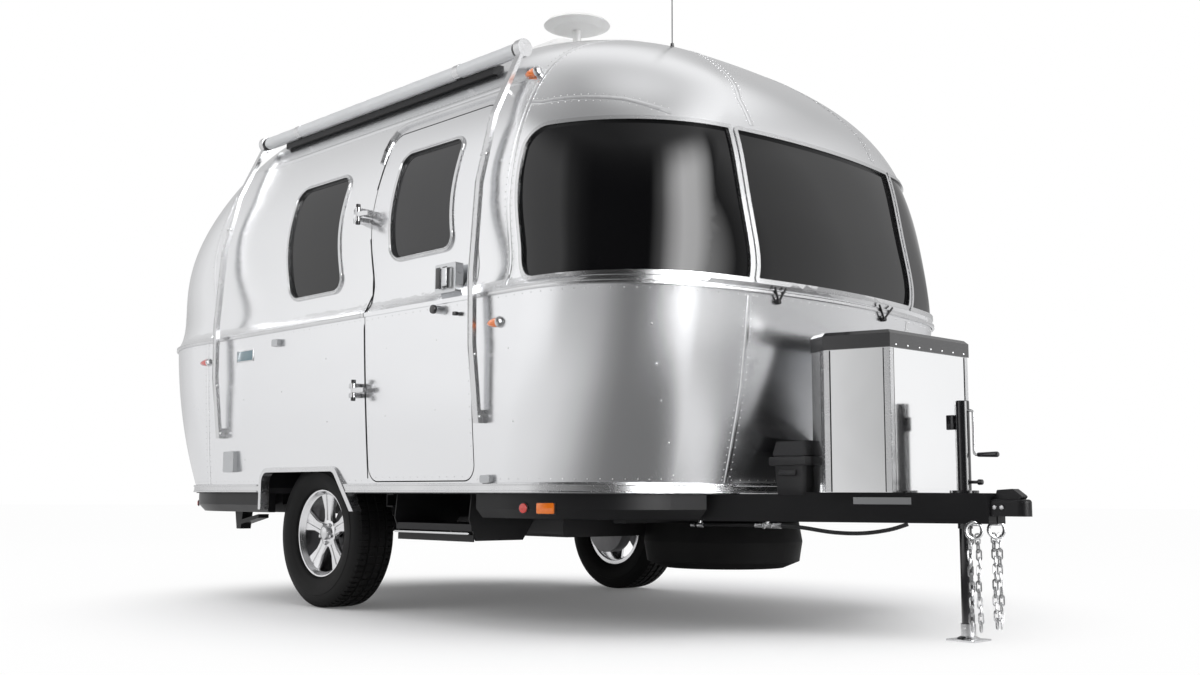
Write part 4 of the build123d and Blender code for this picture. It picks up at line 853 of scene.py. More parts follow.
    def _world(self) -> None:
        """White for the camera, dark and pale studio panels for gloss, soft even light otherwise."""
        world = bpy.data.worlds.new("studio")
        bpy.context.scene.world = world
        world.use_nodes = True
        tree = world.node_tree
        links = tree.links
        tree.nodes.clear()
        coords, split = shader_node(tree, "TexCoord"), shader_node(tree, "SeparateXYZ")
        links.new(coords.outputs["Generated"], split.inputs[0])
        walls = self._ramp(tree, self._compass(tree, split), self.wall_panels)
        ceiling = shader_node(tree, "VectorMath", operation="SCALE")
        links.new(self._ramp(tree, split.outputs["Z"], self.ceiling_panels), ceiling.inputs[0])
        across = self._carried(tree, split.outputs["Y"], self.ceiling_across, False)
        links.new(across, ceiling.inputs["Scale"])
        room, gloss, choose = [shader_node(tree, "Mix", data_type="RGBA") for _ in range(3)]
        gloss.inputs[6].default_value = (0.62, 0.62, 0.63, 1.0)
        choose.inputs[7].default_value = (1.0, 1.0, 1.0, 1.0)
        seen, back = shader_node(tree, "LightPath"), shader_node(tree, "Background")
        for source, target in (
            (self._carried(tree, split.outputs["Z"], self.ceiling_start), room.inputs[0]),
            (walls, room.inputs[6]), (ceiling.outputs[0], room.inputs[7]),
            (seen.outputs["Is Glossy Ray"], gloss.inputs[0]), (room.outputs[2], gloss.inputs[7]),
            (seen.outputs["Is Camera Ray"], choose.inputs[0]), (gloss.outputs[2], choose.inputs[6]),
            (choose.outputs[2], back.inputs["Color"]),
            (back.outputs[0], shader_node(tree, "OutputWorld").inputs["Surface"]),
        ):
            links.new(source, target)

    def _floor(self) -> None:
        """Wide pale floor that keeps the shadow near the caravan and shows its own panels to gloss, with
        painted shade in an oval under the caravan.
        """
        bm = bmesh.new()
        bmesh.ops.create_circle(bm, cap_ends=True, segments=64, radius=self.floor_radius)
        mesh = bpy.data.meshes.new("floor")
        bm.to_mesh(mesh)
        bm.free()
        floor = bpy.data.objects.new("floor", mesh)
        bpy.context.scene.collection.objects.link(floor)
        material = bpy.data.materials.new("pale floor")
        material.use_nodes = True
        tree = material.node_tree
        links, shader = tree.links, tree.nodes["Principled BSDF"]
        shader.inputs["Base Color"].default_value = (0.92, 0.92, 0.92, 1.0)
        shader.inputs["Roughness"].default_value = 0.9
        place = shader_node(tree, "TexCoord").outputs["Object"]
        split = shader_node(tree, "SeparateXYZ")
        links.new(place, split.inputs[0])
        seen, both = shader_node(tree, "LightPath"), shader_node(tree, "Math", operation="MULTIPLY")
        shown, mirrored = shader_node(tree, "Emission"), shader_node(tree, "Emission")
        plain, final = shader_node(tree, "MixShader"), shader_node(tree, "MixShader")
        for source, target in (
            (self._carried(tree, self._length(tree, place), self.floor_fade), both.inputs[0]),
            (seen.outputs["Is Camera Ray"], both.inputs[1]), (both.outputs[0], plain.inputs[0]),
            (shader.outputs[0], plain.inputs[1]), (shown.outputs[0], plain.inputs[2]),
            (self._ramp(tree, self._compass(tree, split), self.floor_panels), mirrored.inputs["Color"]),
            # The floor that gloss sees is darkened in an oval under the caravan: painted shade, not a lit
            # shadow.
            (self._painted_under_shade(tree, place), mirrored.inputs["Strength"]),
            (seen.outputs["Is Glossy Ray"], final.inputs[0]), (plain.outputs[0], final.inputs[1]),
            (mirrored.outputs[0], final.inputs[2]),
            (final.outputs[0], tree.nodes["Material Output"].inputs["Surface"]),
        ):
            links.new(source, target)
        mesh.materials.append(material)

    @staticmethod
    def _length(tree: bpy.types.NodeTree, vector: bpy.types.NodeSocket) -> bpy.types.NodeSocket:
        """Length of a vector."""
        made = shader_node(tree, "VectorMath", operation="LENGTH")
        tree.links.new(vector, made.inputs[0])
        return made.outputs["Value"]

    def _painted_under_shade(self, tree: bpy.types.NodeTree, place: bpy.types.NodeSocket) -> bpy.types.NodeSocket:
        """Brightness of the mirrored floor, low in an oval under the caravan: painted shade that stands for
        the caravan's shadow where the skins reflect the floor.
        """
        (x, y), (along, across) = self.under_centre, self.under_reach
        centred = shader_node(tree, "VectorMath", {1: (-x, -y, 0.0)}, operation="ADD")
        squeezed = shader_node(tree, "VectorMath", {1: (1 / along, 1 / across, 0.0)}, operation="MULTIPLY")
        tree.links.new(place, centred.inputs[0])
        tree.links.new(centred.outputs[0], squeezed.inputs[0])
        return self._carried(tree, self._length(tree, squeezed.outputs[0]), self.under_shade)


DOOR_SPOTS = ((0.137, 1.161), (0.498, 1.166), (0.117, 0.868), (0.478, 0.878))


@dataclass
class SkinDetail:
    """Aluminium skins with their seams, rivets and moulding beads."""

    bench: Bench
    seam_width: float = 0.022
    seam_height: float = 0.0016
    seam_foot: float = 0.002
    rivet: float = 0.0032
    rear_joint: float = -1.5
    front_joint: float = 0.93
    roof_joints: tuple[float, ...] = (-0.69, 0.12)
    base_beads: tuple[Pair, float] = ((0.5425, 0.5715), 0.0045)
    belt_beads: tuple[Pair, float] = ((1.3150, 1.3275), 0.0028)

    def build(self) -> None:
        """Dresses the skins and lays the seams, rivets and beads on them."""
        uppers = ("upper_wall_right", "upper_wall_left", "upper_front", "upper_rear", "roof")
        lowers = ("lower_wall_right", "lower_wall_left", "lower_front", "lower_rear")
        for node in uppers:
            self.bench.smooth_skin(node, SKIN)
        for node in lowers:
            self.bench.smooth_skin(node, SKIN_LOW)
        self.bench.smooth_skin("door_panel", SKIN_LOW, Body.DOOR)
        for node in ("belt_trim", "base_trim", "arch_lips"):
            self.bench.dress(node, TRIM)
        self.map = self.bench.skin_map(*uppers, *lowers)
        self._seams()
        self._rows()
        self._door_rivets()
        self._beads()

    def drape(self, points: Sequence[Point]) -> list[Station]:
        """Stations on the skin beside a path of straight runs."""
        return self.bench.lawful([self.map.project(p) for p in divided(points, 0.05)])

    def rivets(self, bm: bmesh.types.BMesh, stations: Sequence[Station], spacing: float, offset: float,
               size: float) -> None:
        """Row of rivets along stations.

        Args:
            bm: The mesh that gets the heads.
            stations: The path on the skin.
            spacing: Distance between two heads.
            offset: How far the row lies to one side of the path.
            size: Size of the heads, 1 for the usual one.
        """
        own = bmesh.new()
        carried = 0.0
        for (a, normal), (b, _) in zip(stations, stations[1:]):
            run = (b - a).length
            if run < 1e-6:
                continue
            across = (b - a).normalized().cross(normal).normalized()
            while carried < run:
                at = a.lerp(b, carried / run) + across * offset
                found = self.map.cast(at + normal * 0.2, -normal)
                if found and (found[0] - at).length < 0.03:
                    dome(own, found[0], normal, self.rivet * size, self.rivet * size / 2)
                carried += spacing
            carried -= run
        append(bm, own)

    def seam_paths(self) -> list[list[Point]]:
        """Paths of the lap seams, both sides of the body."""
        rear, front = self.rear_joint, self.front_joint
        low = [(1.155, 0.58), (1.183, 0.95), (1.20, 1.315)]
        roof = [(0.928, 2.38), (0.768, 2.50), (0.54, 2.59), (0.27, 2.629), (0.0, 2.63)]
        high = [(1.20, 1.345), (1.175, 1.67), (1.125, 1.97), (1.038, 2.20), *roof]
        paths: list[list[Point]] = []
        for side in (-1, 1):
            sections = [(rear, low), (rear, high), *((x, roof) for x in self.roof_joints), (front, high)]
            if side > 0:
                sections.append((front, low))
            paths.extend([(x, side * y, z) for y, z in section] for x, section in sections)
            runs = [
                [(rear, 1.02, 2.24), (front, 1.02, 2.24)],
                [(front, 1.07, 2.115), (1.0, 1.07, 2.105), (1.315, 0.912, 2.08), (1.395, 0.854, 2.05),
                 (1.458, 0.79, 2.02)],
                [(0.85, 0.13, 2.56), (1.226, 0.293, 2.405), (1.433, 0.379, 2.225), (1.491, 0.424, 2.138),
                 (1.561, 0.427, 2.02)],
                [(1.68, 0.57, 1.30), (1.60, 0.535, 0.95), (1.47, 0.496, 0.575)],
                [(-2.47, 0.55, 1.30), (-2.42, 0.53, 0.95), (-2.27, 0.50, 0.575)],
            ]
            for x, y, top_y in ((-2.44, 0.52, 0.16), (-2.2, 0.98, 0.34)):
                runs.append([(x, y, 1.345), (x + 0.06, y * 0.95, 1.80), (-1.95, y * 0.72, 2.25),
                             (-1.45, top_y + y * 0.2, 2.53), (-1.0, top_y, 2.62)])
            paths.extend([(x, side * y, z) for x, y, z in run] for run in runs)
        return paths

    def _seams(self) -> None:
        """Flat lap strips along the seams, a rivet row beside each edge."""
        strips, heads = bmesh.new(), bmesh.new()
        w, h, chamfer = self.seam_width / 2, self.seam_height, 0.002
        profile = ((-w, -self.seam_foot), (w, -self.seam_foot), (w, h * 0.6), (w - chamfer, h),
                   (-w + chamfer, h), (-w, h * 0.6))
        row = w + 0.008
        for path in self.seam_paths():
            stations = self.drape(path)
            if len(stations) < 2:
                continue
            sweep(strips, profile, stations)
            for offset in (-row, row):
                self.rivets(heads, stations, 0.030, offset, 0.85)
        self.bench.piece("lap_seams", strips, SKIN)
        self.bench.piece("seam_rivets", heads, RIVET)

    def _rows(self) -> None:
        """Rivets along the belt and base mouldings and the loose ones on the panels."""
        heads = bmesh.new()
        for z, half, front, rear in ((1.300, 1.199, 1.683, -2.482), (1.352, 1.199, 1.686, -2.484),
                                     (0.592, 1.158, 1.496, -2.298)):
            loop = []
            for k in range(121):
                a = math.tau * k / 120
                x = 0.5 * (front + rear) + 0.5 * (front - rear) * math.cos(a) * 1.02
                loop.append((x, half * 1.05 * math.sin(a), z))
            self.rivets(heads, self.bench.lawful([self.map.level(p) for p in loop]), 0.048, 0.0, 0.8)
        front_spots = ((0.875, 1.167), (0.856, 1.02), (0.839, 0.884), (0.807, 0.728), (0.793, 0.606))
        side_spots = (*DOOR_SPOTS, (0.96, 1.096), (0.975, 0.813), (-0.35, 1.15), (-0.35, 0.86), (-0.75, 1.02),
                      (-1.12, 1.0), (-1.12, 0.70))
        door_x = (-0.03, 0.725)
        for side in (-1, 1):
            loose = [((1.45, side * y, z), 1.5) for y, z in front_spots]
            for x, z in side_spots:
                if side > 0 or not door_x[0] < x < door_x[1]:
                    loose.append(((x, side * 1.19, z), 1.2))
            for p, size in loose:
                for at, normal in self.bench.lawful([self.map.level(p)]):
                    dome(heads, at, normal, self.rivet * size, 0.0022)
        self.bench.piece("panel_rivets", heads, RIVET)

    def _door_rivets(self) -> None:
        """Rivets round the door's edge and above and below the belt, and its loose ones."""
        heads = bmesh.new()
        door = self.bench.skin_map("door_panel")
        spots = [(x, 0.62 + 0.052 * k) for x in (-0.012, 0.707) for k in range(29)]
        spots += [(0.03 + 0.051 * k, z) for k in range(13) for z in (0.603, 1.298, 1.354)]
        spots += DOOR_SPOTS
        for at, normal in self.bench.lawful([door.cast((x, -1.6, z), (0, 1, 0)) for x, z in spots]):
            dome(heads, at, normal, self.rivet * 0.8, 0.0013)
        self.bench.piece("door_rivets", heads, RIVET, Body.DOOR)

    def _beads(self) -> None:
        """Round bright beads along the base and belt mouldings."""
        beads = bmesh.new()
        for node, (heights, radius) in (("base_trim", self.base_beads), ("belt_trim", self.belt_beads)):
            moulding = self.bench.skin_map(node)
            for z in heights:
                for run in self._runs(moulding, z):
                    sweep(beads, circle(radius, 8), run)
        self.bench.piece("moulding_beads", beads, TRIM)

    def _runs(self, moulding: SkinMap, z: float) -> list[list[Station]]:
        """Unbroken runs round a moulding at one height.

        Args:
            moulding: The moulding's surface.
            z: The height.

        Returns:
            The stations of each run, the shortest runs left out.
        """
        runs: list[list[Station]] = [[]]
        for k in range(361):
            a = math.tau * k / 360
            found = moulding.level((BodyLaw.MIDDLE + 2.0 * math.cos(a), 1.25 * math.sin(a), z))
            upright = found and abs(found[1].z) < 0.5
            broken = runs[-1] and (not upright or (found[0] - runs[-1][-1][0]).length >= 0.09)
            if broken:
                runs.append([])
            if upright:
                runs[-1].append((found[0], self.bench.law.normal(found[0], True)))
        return [run for run in runs if len(run) > 2]


@dataclass
class Windows:
    """Glass, frames and their beads, seals and stay hooks."""

    bench: Bench
    skin: SkinDetail
    side_z: Pair = (1.457, 2.035)
    side_corner: float = 0.08

    def build(self) -> None:
        """Dresses the panes and frames and adds the round beads."""
        self.bench.smooth_skin("window_glass", GLASS)
        self.bench.smooth_skin("window_frames", TRIM)
        self.bench.smooth_skin("door_window_frame", TRIM, Body.DOOR)
        self.bench.smooth_skin("door_glass", SHADE_GLASS, Body.DOOR)
        beads, seals = bmesh.new(), bmesh.new()
        for side, x in ((-1, (-0.762, -0.28)), (1, (-0.15, 0.48))):
            self._bead(beads, seals, side, x, self.side_z, self.side_corner, "window_frames")
        self.bench.piece("window_beads", beads, TRIM)
        self.bench.piece("window_seals", seals, SEAL)
        self._stay_hooks()
        beads, seals = bmesh.new(), bmesh.new()
        self._bead(beads, seals, -1, (0.108, 0.572), (1.542, 2.052), 0.07, "door_window_frame")
        self.bench.piece("door_window_bead", beads, TRIM, Body.DOOR)
        self.bench.piece("door_window_seal", seals, SEAL, Body.DOOR)

    def _bead(self, beads: bmesh.types.BMesh, seals: bmesh.types.BMesh, side: int, x: Pair, z: Pair,
              radius: float, frame: str) -> None:
        """Round beads on a frame and a black seal at its pane's edge.

        Args:
            beads: The mesh that gets the beads.
            seals: The mesh that gets the seal.
            side: -1 for the right-hand wall, 1 for the left-hand one.
            x: The frame's ends.
            z: Its lower and upper edge.
            radius: Its corner radius.
            frame: The CAD node with the frame.
        """
        surface = self.bench.skin_map(frame)
        for bm, inset, bead in ((beads, 0.004, 0.0040), (beads, 0.0135, 0.0030), (seals, 0.0172, 0.0014)):
            loop = rounded_loop((x[0] + inset, x[1] - inset), (z[0] + inset, z[1] - inset), radius - inset)
            found = [surface.cast((px, side * 1.6, pz), (0, -side, 0)) for px, pz in loop]
            stations = self.bench.lawful(found)
            if len(stations) > 3:
                sweep(bm, circle(bead, 8), stations)

    def _stay_hooks(self) -> None:
        """Two black wire hooks under the centre pane."""
        hooks = bmesh.new()
        for left, right in ((-0.434, -0.374), (0.245, 0.359)):
            ends = ((left, 1.340), ((left + right) / 2, 1.288), (right, 1.340))
            found = self.bench.lawful([self.skin.map.cast((2.2, y, z), (-1, 0, 0)) for y, z in ends])
            corners = [at + normal * 0.012 for at, normal in found]
            for a, b in zip(corners, corners[1:]):
                rod(hooks, a, b, 0.0045, bevel=0.001)
            foot = corners[1]
            rod(hooks, foot - Vector((0.014, 0, 0)), foot + Vector((0.008, 0, 0)), 0.010, bevel=0.002)
        self.bench.piece("window_stay_hooks", hooks, SEAL)


@dataclass
class Door:
    """Door fittings: lock, knob, hinges, edge seal and the drip rail above."""

    bench: Bench
    skin: SkinDetail
    hinge_heights: Pair = (0.985, 1.775)
    hinge_at: Pair = (-0.048, -1.236)
    seal_x: float = -0.0335

    def build(self) -> None:
        """Builds every fitting."""
        for node in ("hinge_wall_leaves", "hinge_door_leaves"):
            self.bench.dress(node, TRIM)
        self.bench.dress("door_lock", PLATE)
        self._lock()
        self._hinges()
        self._drip()
        self._edge_seal()

    def _lock(self) -> None:
        """Lock face with two slots and a paddle, and a black knob below."""
        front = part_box("door_lock")[0].y
        dark, bright = bmesh.new(), bmesh.new()
        for x in (0.542, 0.588):
            block(dark, (x - 0.015, front - 0.0022, 1.372), (x + 0.015, front + 0.002, 1.46), 0.002)
        block(bright, (0.572, front - 0.006, 1.378), (0.604, front - 0.001, 1.454), 0.003)
        rod(dark, (0.52, front - 0.012, 1.289), (0.52, front + 0.004, 1.289), 0.019, bevel=0.004)
        block(dark, (0.64, front + 0.001, 1.252), (0.658, front + 0.022, 1.268), 0.003)
        self.bench.piece("lock_slots", dark, GLOSS_BLACK, Body.DOOR)
        self.bench.piece("lock_paddle", bright, PLATE, Body.DOOR)

    def _hinges(self) -> None:
        """Black bushes above and below each hinge block."""
        bushes = bmesh.new()
        for z in self.hinge_heights:
            for end in (-1, 1):
                near, far = (*self.hinge_at, z + end * 0.031), (*self.hinge_at, z + end * 0.047)
                rod(bushes, near, far, 0.0105, bevel=0.002)
        self.bench.piece("hinge_bushes", bushes, GLOSS_BLACK)

    def _on_wall(self, spots: Sequence[Pair]) -> list[Station]:
        """Stations on the right-hand wall at places in X and Z."""
        return self.bench.lawful([self.skin.map.cast((x, -1.7, z), (0, 1, 0)) for x, z in spots])

    def _drip(self) -> None:
        """Curved drip rail over the door."""
        rail = bmesh.new()
        path = [(-0.056, 2.03), (-0.060, 2.09), (-0.048, 2.145), (-0.015, 2.185), (0.04, 2.203),
                (0.12, 2.206), (0.40, 2.206), (0.76, 2.203)]
        half = [(0.006, -0.002), (0.008, 0.010), (0.003, 0.016)]
        sweep(rail, [*half, *((-a, b) for a, b in reversed(half))], self._on_wall(path))
        self.bench.piece("drip_rail", rail, TRIM)

    def _edge_seal(self) -> None:
        """Seal strip down the door's hinge side, left out beside the hinges."""
        strip = bmesh.new()
        heights = [p.z for p in divided([(0, 0, 0.60), (0, 0, 2.07)], 0.08)]
        clear = [z for z in heights if all(abs(z - hinge) > 0.05 for hinge in self.hinge_heights)]
        sweep(strip, flat_bar(0.002, -0.004, 0.0015), self._on_wall([(self.seal_x, z) for z in clear]))
        self.bench.piece("door_edge_seal", strip, SEAL)


@dataclass
class Wheel:
    """Tyre and five-spoke alloy wheel on one side."""

    bench: Bench
    side: int
    centre: Point = (-0.5715, 0.969, 0.3473)
    radius: float = 0.3473
    half_width: float = 0.1125
    rim: float = 0.2075
    tread_steps: int = 216
    cut_depth: float = 0.004
    spokes: int = 5
    spoke_reaches: tuple[float, ...] = (0.040, 0.075, 0.110, 0.150, 0.184)
    stud_circle: float = 0.047

    def build(self) -> None:
        """Builds the tyre, the rim and the hub's parts."""
        name, body = ("right", Body.WHEEL_RIGHT) if self.side < 0 else ("left", Body.WHEEL_LEFT)
        self.at = (self.centre[0], self.side * self.centre[1], self.centre[2])
        self.axis = (0.0, float(self.side), 0.0)
        turn = Vector(self.axis).to_track_quat("Z", "Y").to_matrix().to_4x4()
        self.place = Matrix.Translation(self.at) @ turn
        self.bench.piece(f"tyre_{name}_treaded", self._tyre(), RUBBER, body, [f"tyre_{name}"], 30.0)
        self.bench.piece(f"rim_{name}", self._rim(), ALLOY, body, [f"wheel_{name}"], 30.0)
        self.bench.piece(f"drum_{name}", self._drum(), ALLOY_DARK, body)
        self.bench.piece(f"spokes_{name}", self._spokes(), ALLOY, body, angle=40.0)
        self.bench.piece(f"hub_{name}", self._hub(), ZINC, body)

    def _tyre(self) -> bmesh.types.BMesh:
        """Tyre with sidewall ribs, tread grooves and cross cuts at the shoulders."""
        r, w = self.radius, self.half_width
        half = [(self.rim + 0.0005, 0.078), (self.rim + 0.006, 0.094), (self.rim + 0.016, 0.1015),
                (self.rim + 0.024, 0.1025), (self.rim + 0.027, 0.1045), (self.rim + 0.045, 0.109),
                (r - 0.078, w), (r - 0.060, w - 0.0005), (r - 0.058, w - 0.003), (r - 0.040, w - 0.005),
                (r - 0.024, w - 0.011), (r - 0.012, 0.092), (r - 0.003, 0.083), (r - 0.0008, 0.066),
                (r - 0.0005, 0.050), (r - 0.008, 0.048), (r - 0.008, 0.040), (r, 0.038), (r, 0.010),
                (r - 0.008, 0.008), (r - 0.008, 0.0)]
        loop = half + [(a, -b) for a, b in reversed(half[:-1])]
        own = bmesh.new()
        ring(own, [*loop, loop[0]], (0, 0, 0), (0, 0, 1), self.tread_steps)
        made = bmesh.ops.extrude_discrete_faces(own, faces=[f for f in own.faces if self._is_cut(f)])
        for f in made["faces"]:
            c = f.calc_center_median()
            out = Vector((c.x, c.y, 0.0)).normalized()
            bmesh.ops.translate(own, verts=f.verts[:], vec=out * -self.cut_depth)
        bmesh.ops.transform(own, matrix=self.place, verts=own.verts)
        return own

    def _is_cut(self, face: bmesh.types.BMFace) -> bool:
        """Whether a face of the plain tread lies in a cross cut of a shoulder or a middle rib."""
        c = face.calc_center_median()
        reach = math.hypot(c.x, c.y)
        step = round((math.atan2(c.y, c.x) % math.tau) / math.tau * self.tread_steps - 0.5)
        shoulder = 0.050 < abs(c.z) < 0.09 and reach > self.radius - 0.010
        middle = 0.012 < abs(c.z) < 0.036 and reach > self.radius - 0.002
        return (shoulder and step % 3 == 0) or (middle and step % 4 == 2)

    def _rim(self) -> bmesh.types.BMesh:
        """Barrel with a rolled bright lip."""
        bm = bmesh.new()
        outer = self.rim
        profile = [(outer, -0.084), (outer, -0.070), (outer - 0.012, -0.060), (outer - 0.012, 0.060),
                   (outer, 0.070), (outer, 0.080), (outer - 0.004, 0.084), (outer - 0.010, 0.083),
                   (outer - 0.014, 0.078), (outer - 0.020, 0.066), (outer - 0.026, 0.060),
                   (outer - 0.026, -0.070), (outer - 0.018, -0.084), (outer, -0.084)]
        ring(bm, profile, self.at, self.axis, 96)
        return bm

    def _drum(self) -> bmesh.types.BMesh:
        """Brake drum and the dark inner dish behind the spokes."""
        bm = bmesh.new()
        profile = [(0.0, -0.02), (0.058, -0.02), (0.060, -0.060), (0.132, -0.066), (0.138, -0.072),
                   (0.138, -0.150), (0.030, -0.152), (0.030, -0.16), (0.0, -0.16)]
        ring(bm, profile, self.at, self.axis, 64)
        return bm

    def _spokes(self) -> bmesh.types.BMesh:
        """Broad spokes that flare into the rim, and the hub's dish."""
        own = bmesh.new()
        for k in range(self.spokes):
            single = self._spoke()
            turn = Matrix.Rotation(math.radians(90 + 360 / self.spokes * k), 4, "Z")
            bmesh.ops.transform(single, matrix=self.place @ turn, verts=single.verts)
            append(own, single)
        dish = [(0.0, 0.020), (0.060, 0.020), (0.066, 0.030), (0.064, 0.048), (0.056, 0.053), (0.036, 0.051),
                (0.034, 0.047), (0.0, 0.047)]
        ring(own, dish, self.at, self.axis, 64)
        return own

    def _spoke(self) -> bmesh.types.BMesh:
        """One spoke along X with a groove down its middle, lofted from the hub to the rim."""
        single = bmesh.new()
        previous: list[bmesh.types.BMEdge] = []
        first, last = self.spoke_reaches[0], self.spoke_reaches[-1]
        for reach in self.spoke_reaches:
            t = (reach - first) / (last - first)
            rise = 0.050 + 0.010 * t * t
            wide = 0.036 - 0.010 * math.sin(math.pi * min(t * 1.15, 1.0)) + 0.018 * t * t
            deep = 0.026 - 0.006 * t
            half = [(0.006, rise - 0.004), (0.009, rise), (wide - 0.006, rise), (wide, rise - 0.007),
                    (wide, rise - deep)]
            corners = [*((-a, b) for a, b in reversed(half)), *half]
            verts = [single.verts.new((reach, a, b)) for a, b in corners]
            edges = [single.edges.new(pair) for pair in zip(verts, verts[1:] + verts[:1])]
            if previous:
                bmesh.ops.bridge_loops(single, edges=previous + edges)
            else:
                single.faces.new(verts)
            previous = edges
        single.faces.new(verts)
        bmesh.ops.recalc_face_normals(single, faces=single.faces)
        return single

    def _hub(self) -> bmesh.types.BMesh:
        """Cap and studs, one between two spokes."""
        bm = bmesh.new()
        ring(bm, [(0.0, 0.046), (0.031, 0.046), (0.031, 0.066), (0.028, 0.072), (0.018, 0.077), (0.0, 0.078)],
             self.at, self.axis, 40)
        out = Vector(self.axis)
        for k in range(self.spokes):
            a = math.radians(54 + 360 / self.spokes * k)
            foot = Vector(self.at) + Vector((math.cos(a), 0, math.sin(a))) * self.stud_circle
            rod(bm, foot + out * 0.047, foot + out * 0.066, 0.0095, 0.0085, 6, 0.0012)
        return bm


@dataclass
class Awning:
    """Rolled awning, its rail, caps, clamps and arms."""

    bench: Bench
    y: float = -0.992
    z: float = 2.394
    radius: float = 0.033
    ends: Pair = (-1.3127, 0.7727)
    clamp_x: Pair = (-0.98, 0.36)
    arm_x: Pair = (-1.33, 0.79)
    steps: int = 56

    def build(self) -> None:
        """Builds the roll and its metalwork."""
        self.bench.piece("awning_roll", self._roll(), AWNING, replaces=["awning_roller"])
        caps, clamps = bmesh.new(), bmesh.new()
        edge = self.radius - 0.0002
        for x, way in zip(self.ends, (1, -1)):
            ring(caps, [(0.0, 0.0), (edge, 0.0), (edge, 0.018), (0.030, 0.022), (0.0, 0.022)],
                 (x, self.y, self.z), (way, 0, 0), 40)
        self.bench.piece("awning_caps", caps, GLOSS_BLACK)
        for x in self.clamp_x:
            ring(clamps, [(edge, -0.02), (edge, 0.02), (0.0306, 0.02), (0.0306, -0.02), (edge, -0.02)],
                 (x, self.y, self.z), (1, 0, 0), 40)
        self.bench.piece("awning_clamps", clamps, TRIM)
        self.bench.dress("awning_rail", BLACK_PAINT)
        self.bench.dress("awning_arms", TRIM)
        self._arms()

    def _roll(self) -> bmesh.types.BMesh:
        """Rolled cloth, its free edge a small ridge and its line a little uneven."""
        roll = bmesh.new()
        sides = 28
        profile = []
        for k in range(sides):
            a, r = math.tau * k / sides, self.radius - 0.0022 + 0.0016 * k / sides
            profile.append((r * math.cos(a), r * math.sin(a)))
        start, length = self.ends[0] + 0.012, self.ends[1] - self.ends[0] - 0.024
        stations = []
        for k in range(self.steps + 1):
            sag = 0.0008 * math.sin(k * 1.7) * math.sin(k * 0.31)
            at = Vector((start + length * k / self.steps, self.y, self.z + sag))
            stations.append((at, Vector((0, 0, 1))))
        sweep(roll, profile, stations)
        return roll

    def _arms(self) -> None:
        """Channel lips and pins of the arms."""
        lips, pins = bmesh.new(), bmesh.new()
        path = [(-1.205, 0.86), (-1.236, 1.12), (-1.240, 1.40), (-1.212, 1.78), (-1.140, 2.08)]
        out = Vector((0, -1, 0.1)).normalized()
        for x in self.arm_x:
            for edge in (-0.0145, 0.0145):
                stations = [(Vector((x + edge, y - 0.0088, z)), out) for y, z in path]
                sweep(lips, flat_bar(0.0022, -0.001, 0.0018), stations)
            for y, z, half, radius in ((-1.203, 0.836, 0.021, 0.007), (-1.232, 1.08, 0.020, 0.006),
                                       (-1.190, 1.90, 0.020, 0.006)):
                rod(pins, (x - half, y, z), (x + half, y, z), radius, bevel=0.001)
        self.bench.piece("arm_channel_lips", lips, TRIM)
        self.bench.piece("arm_pins", pins, ZINC)


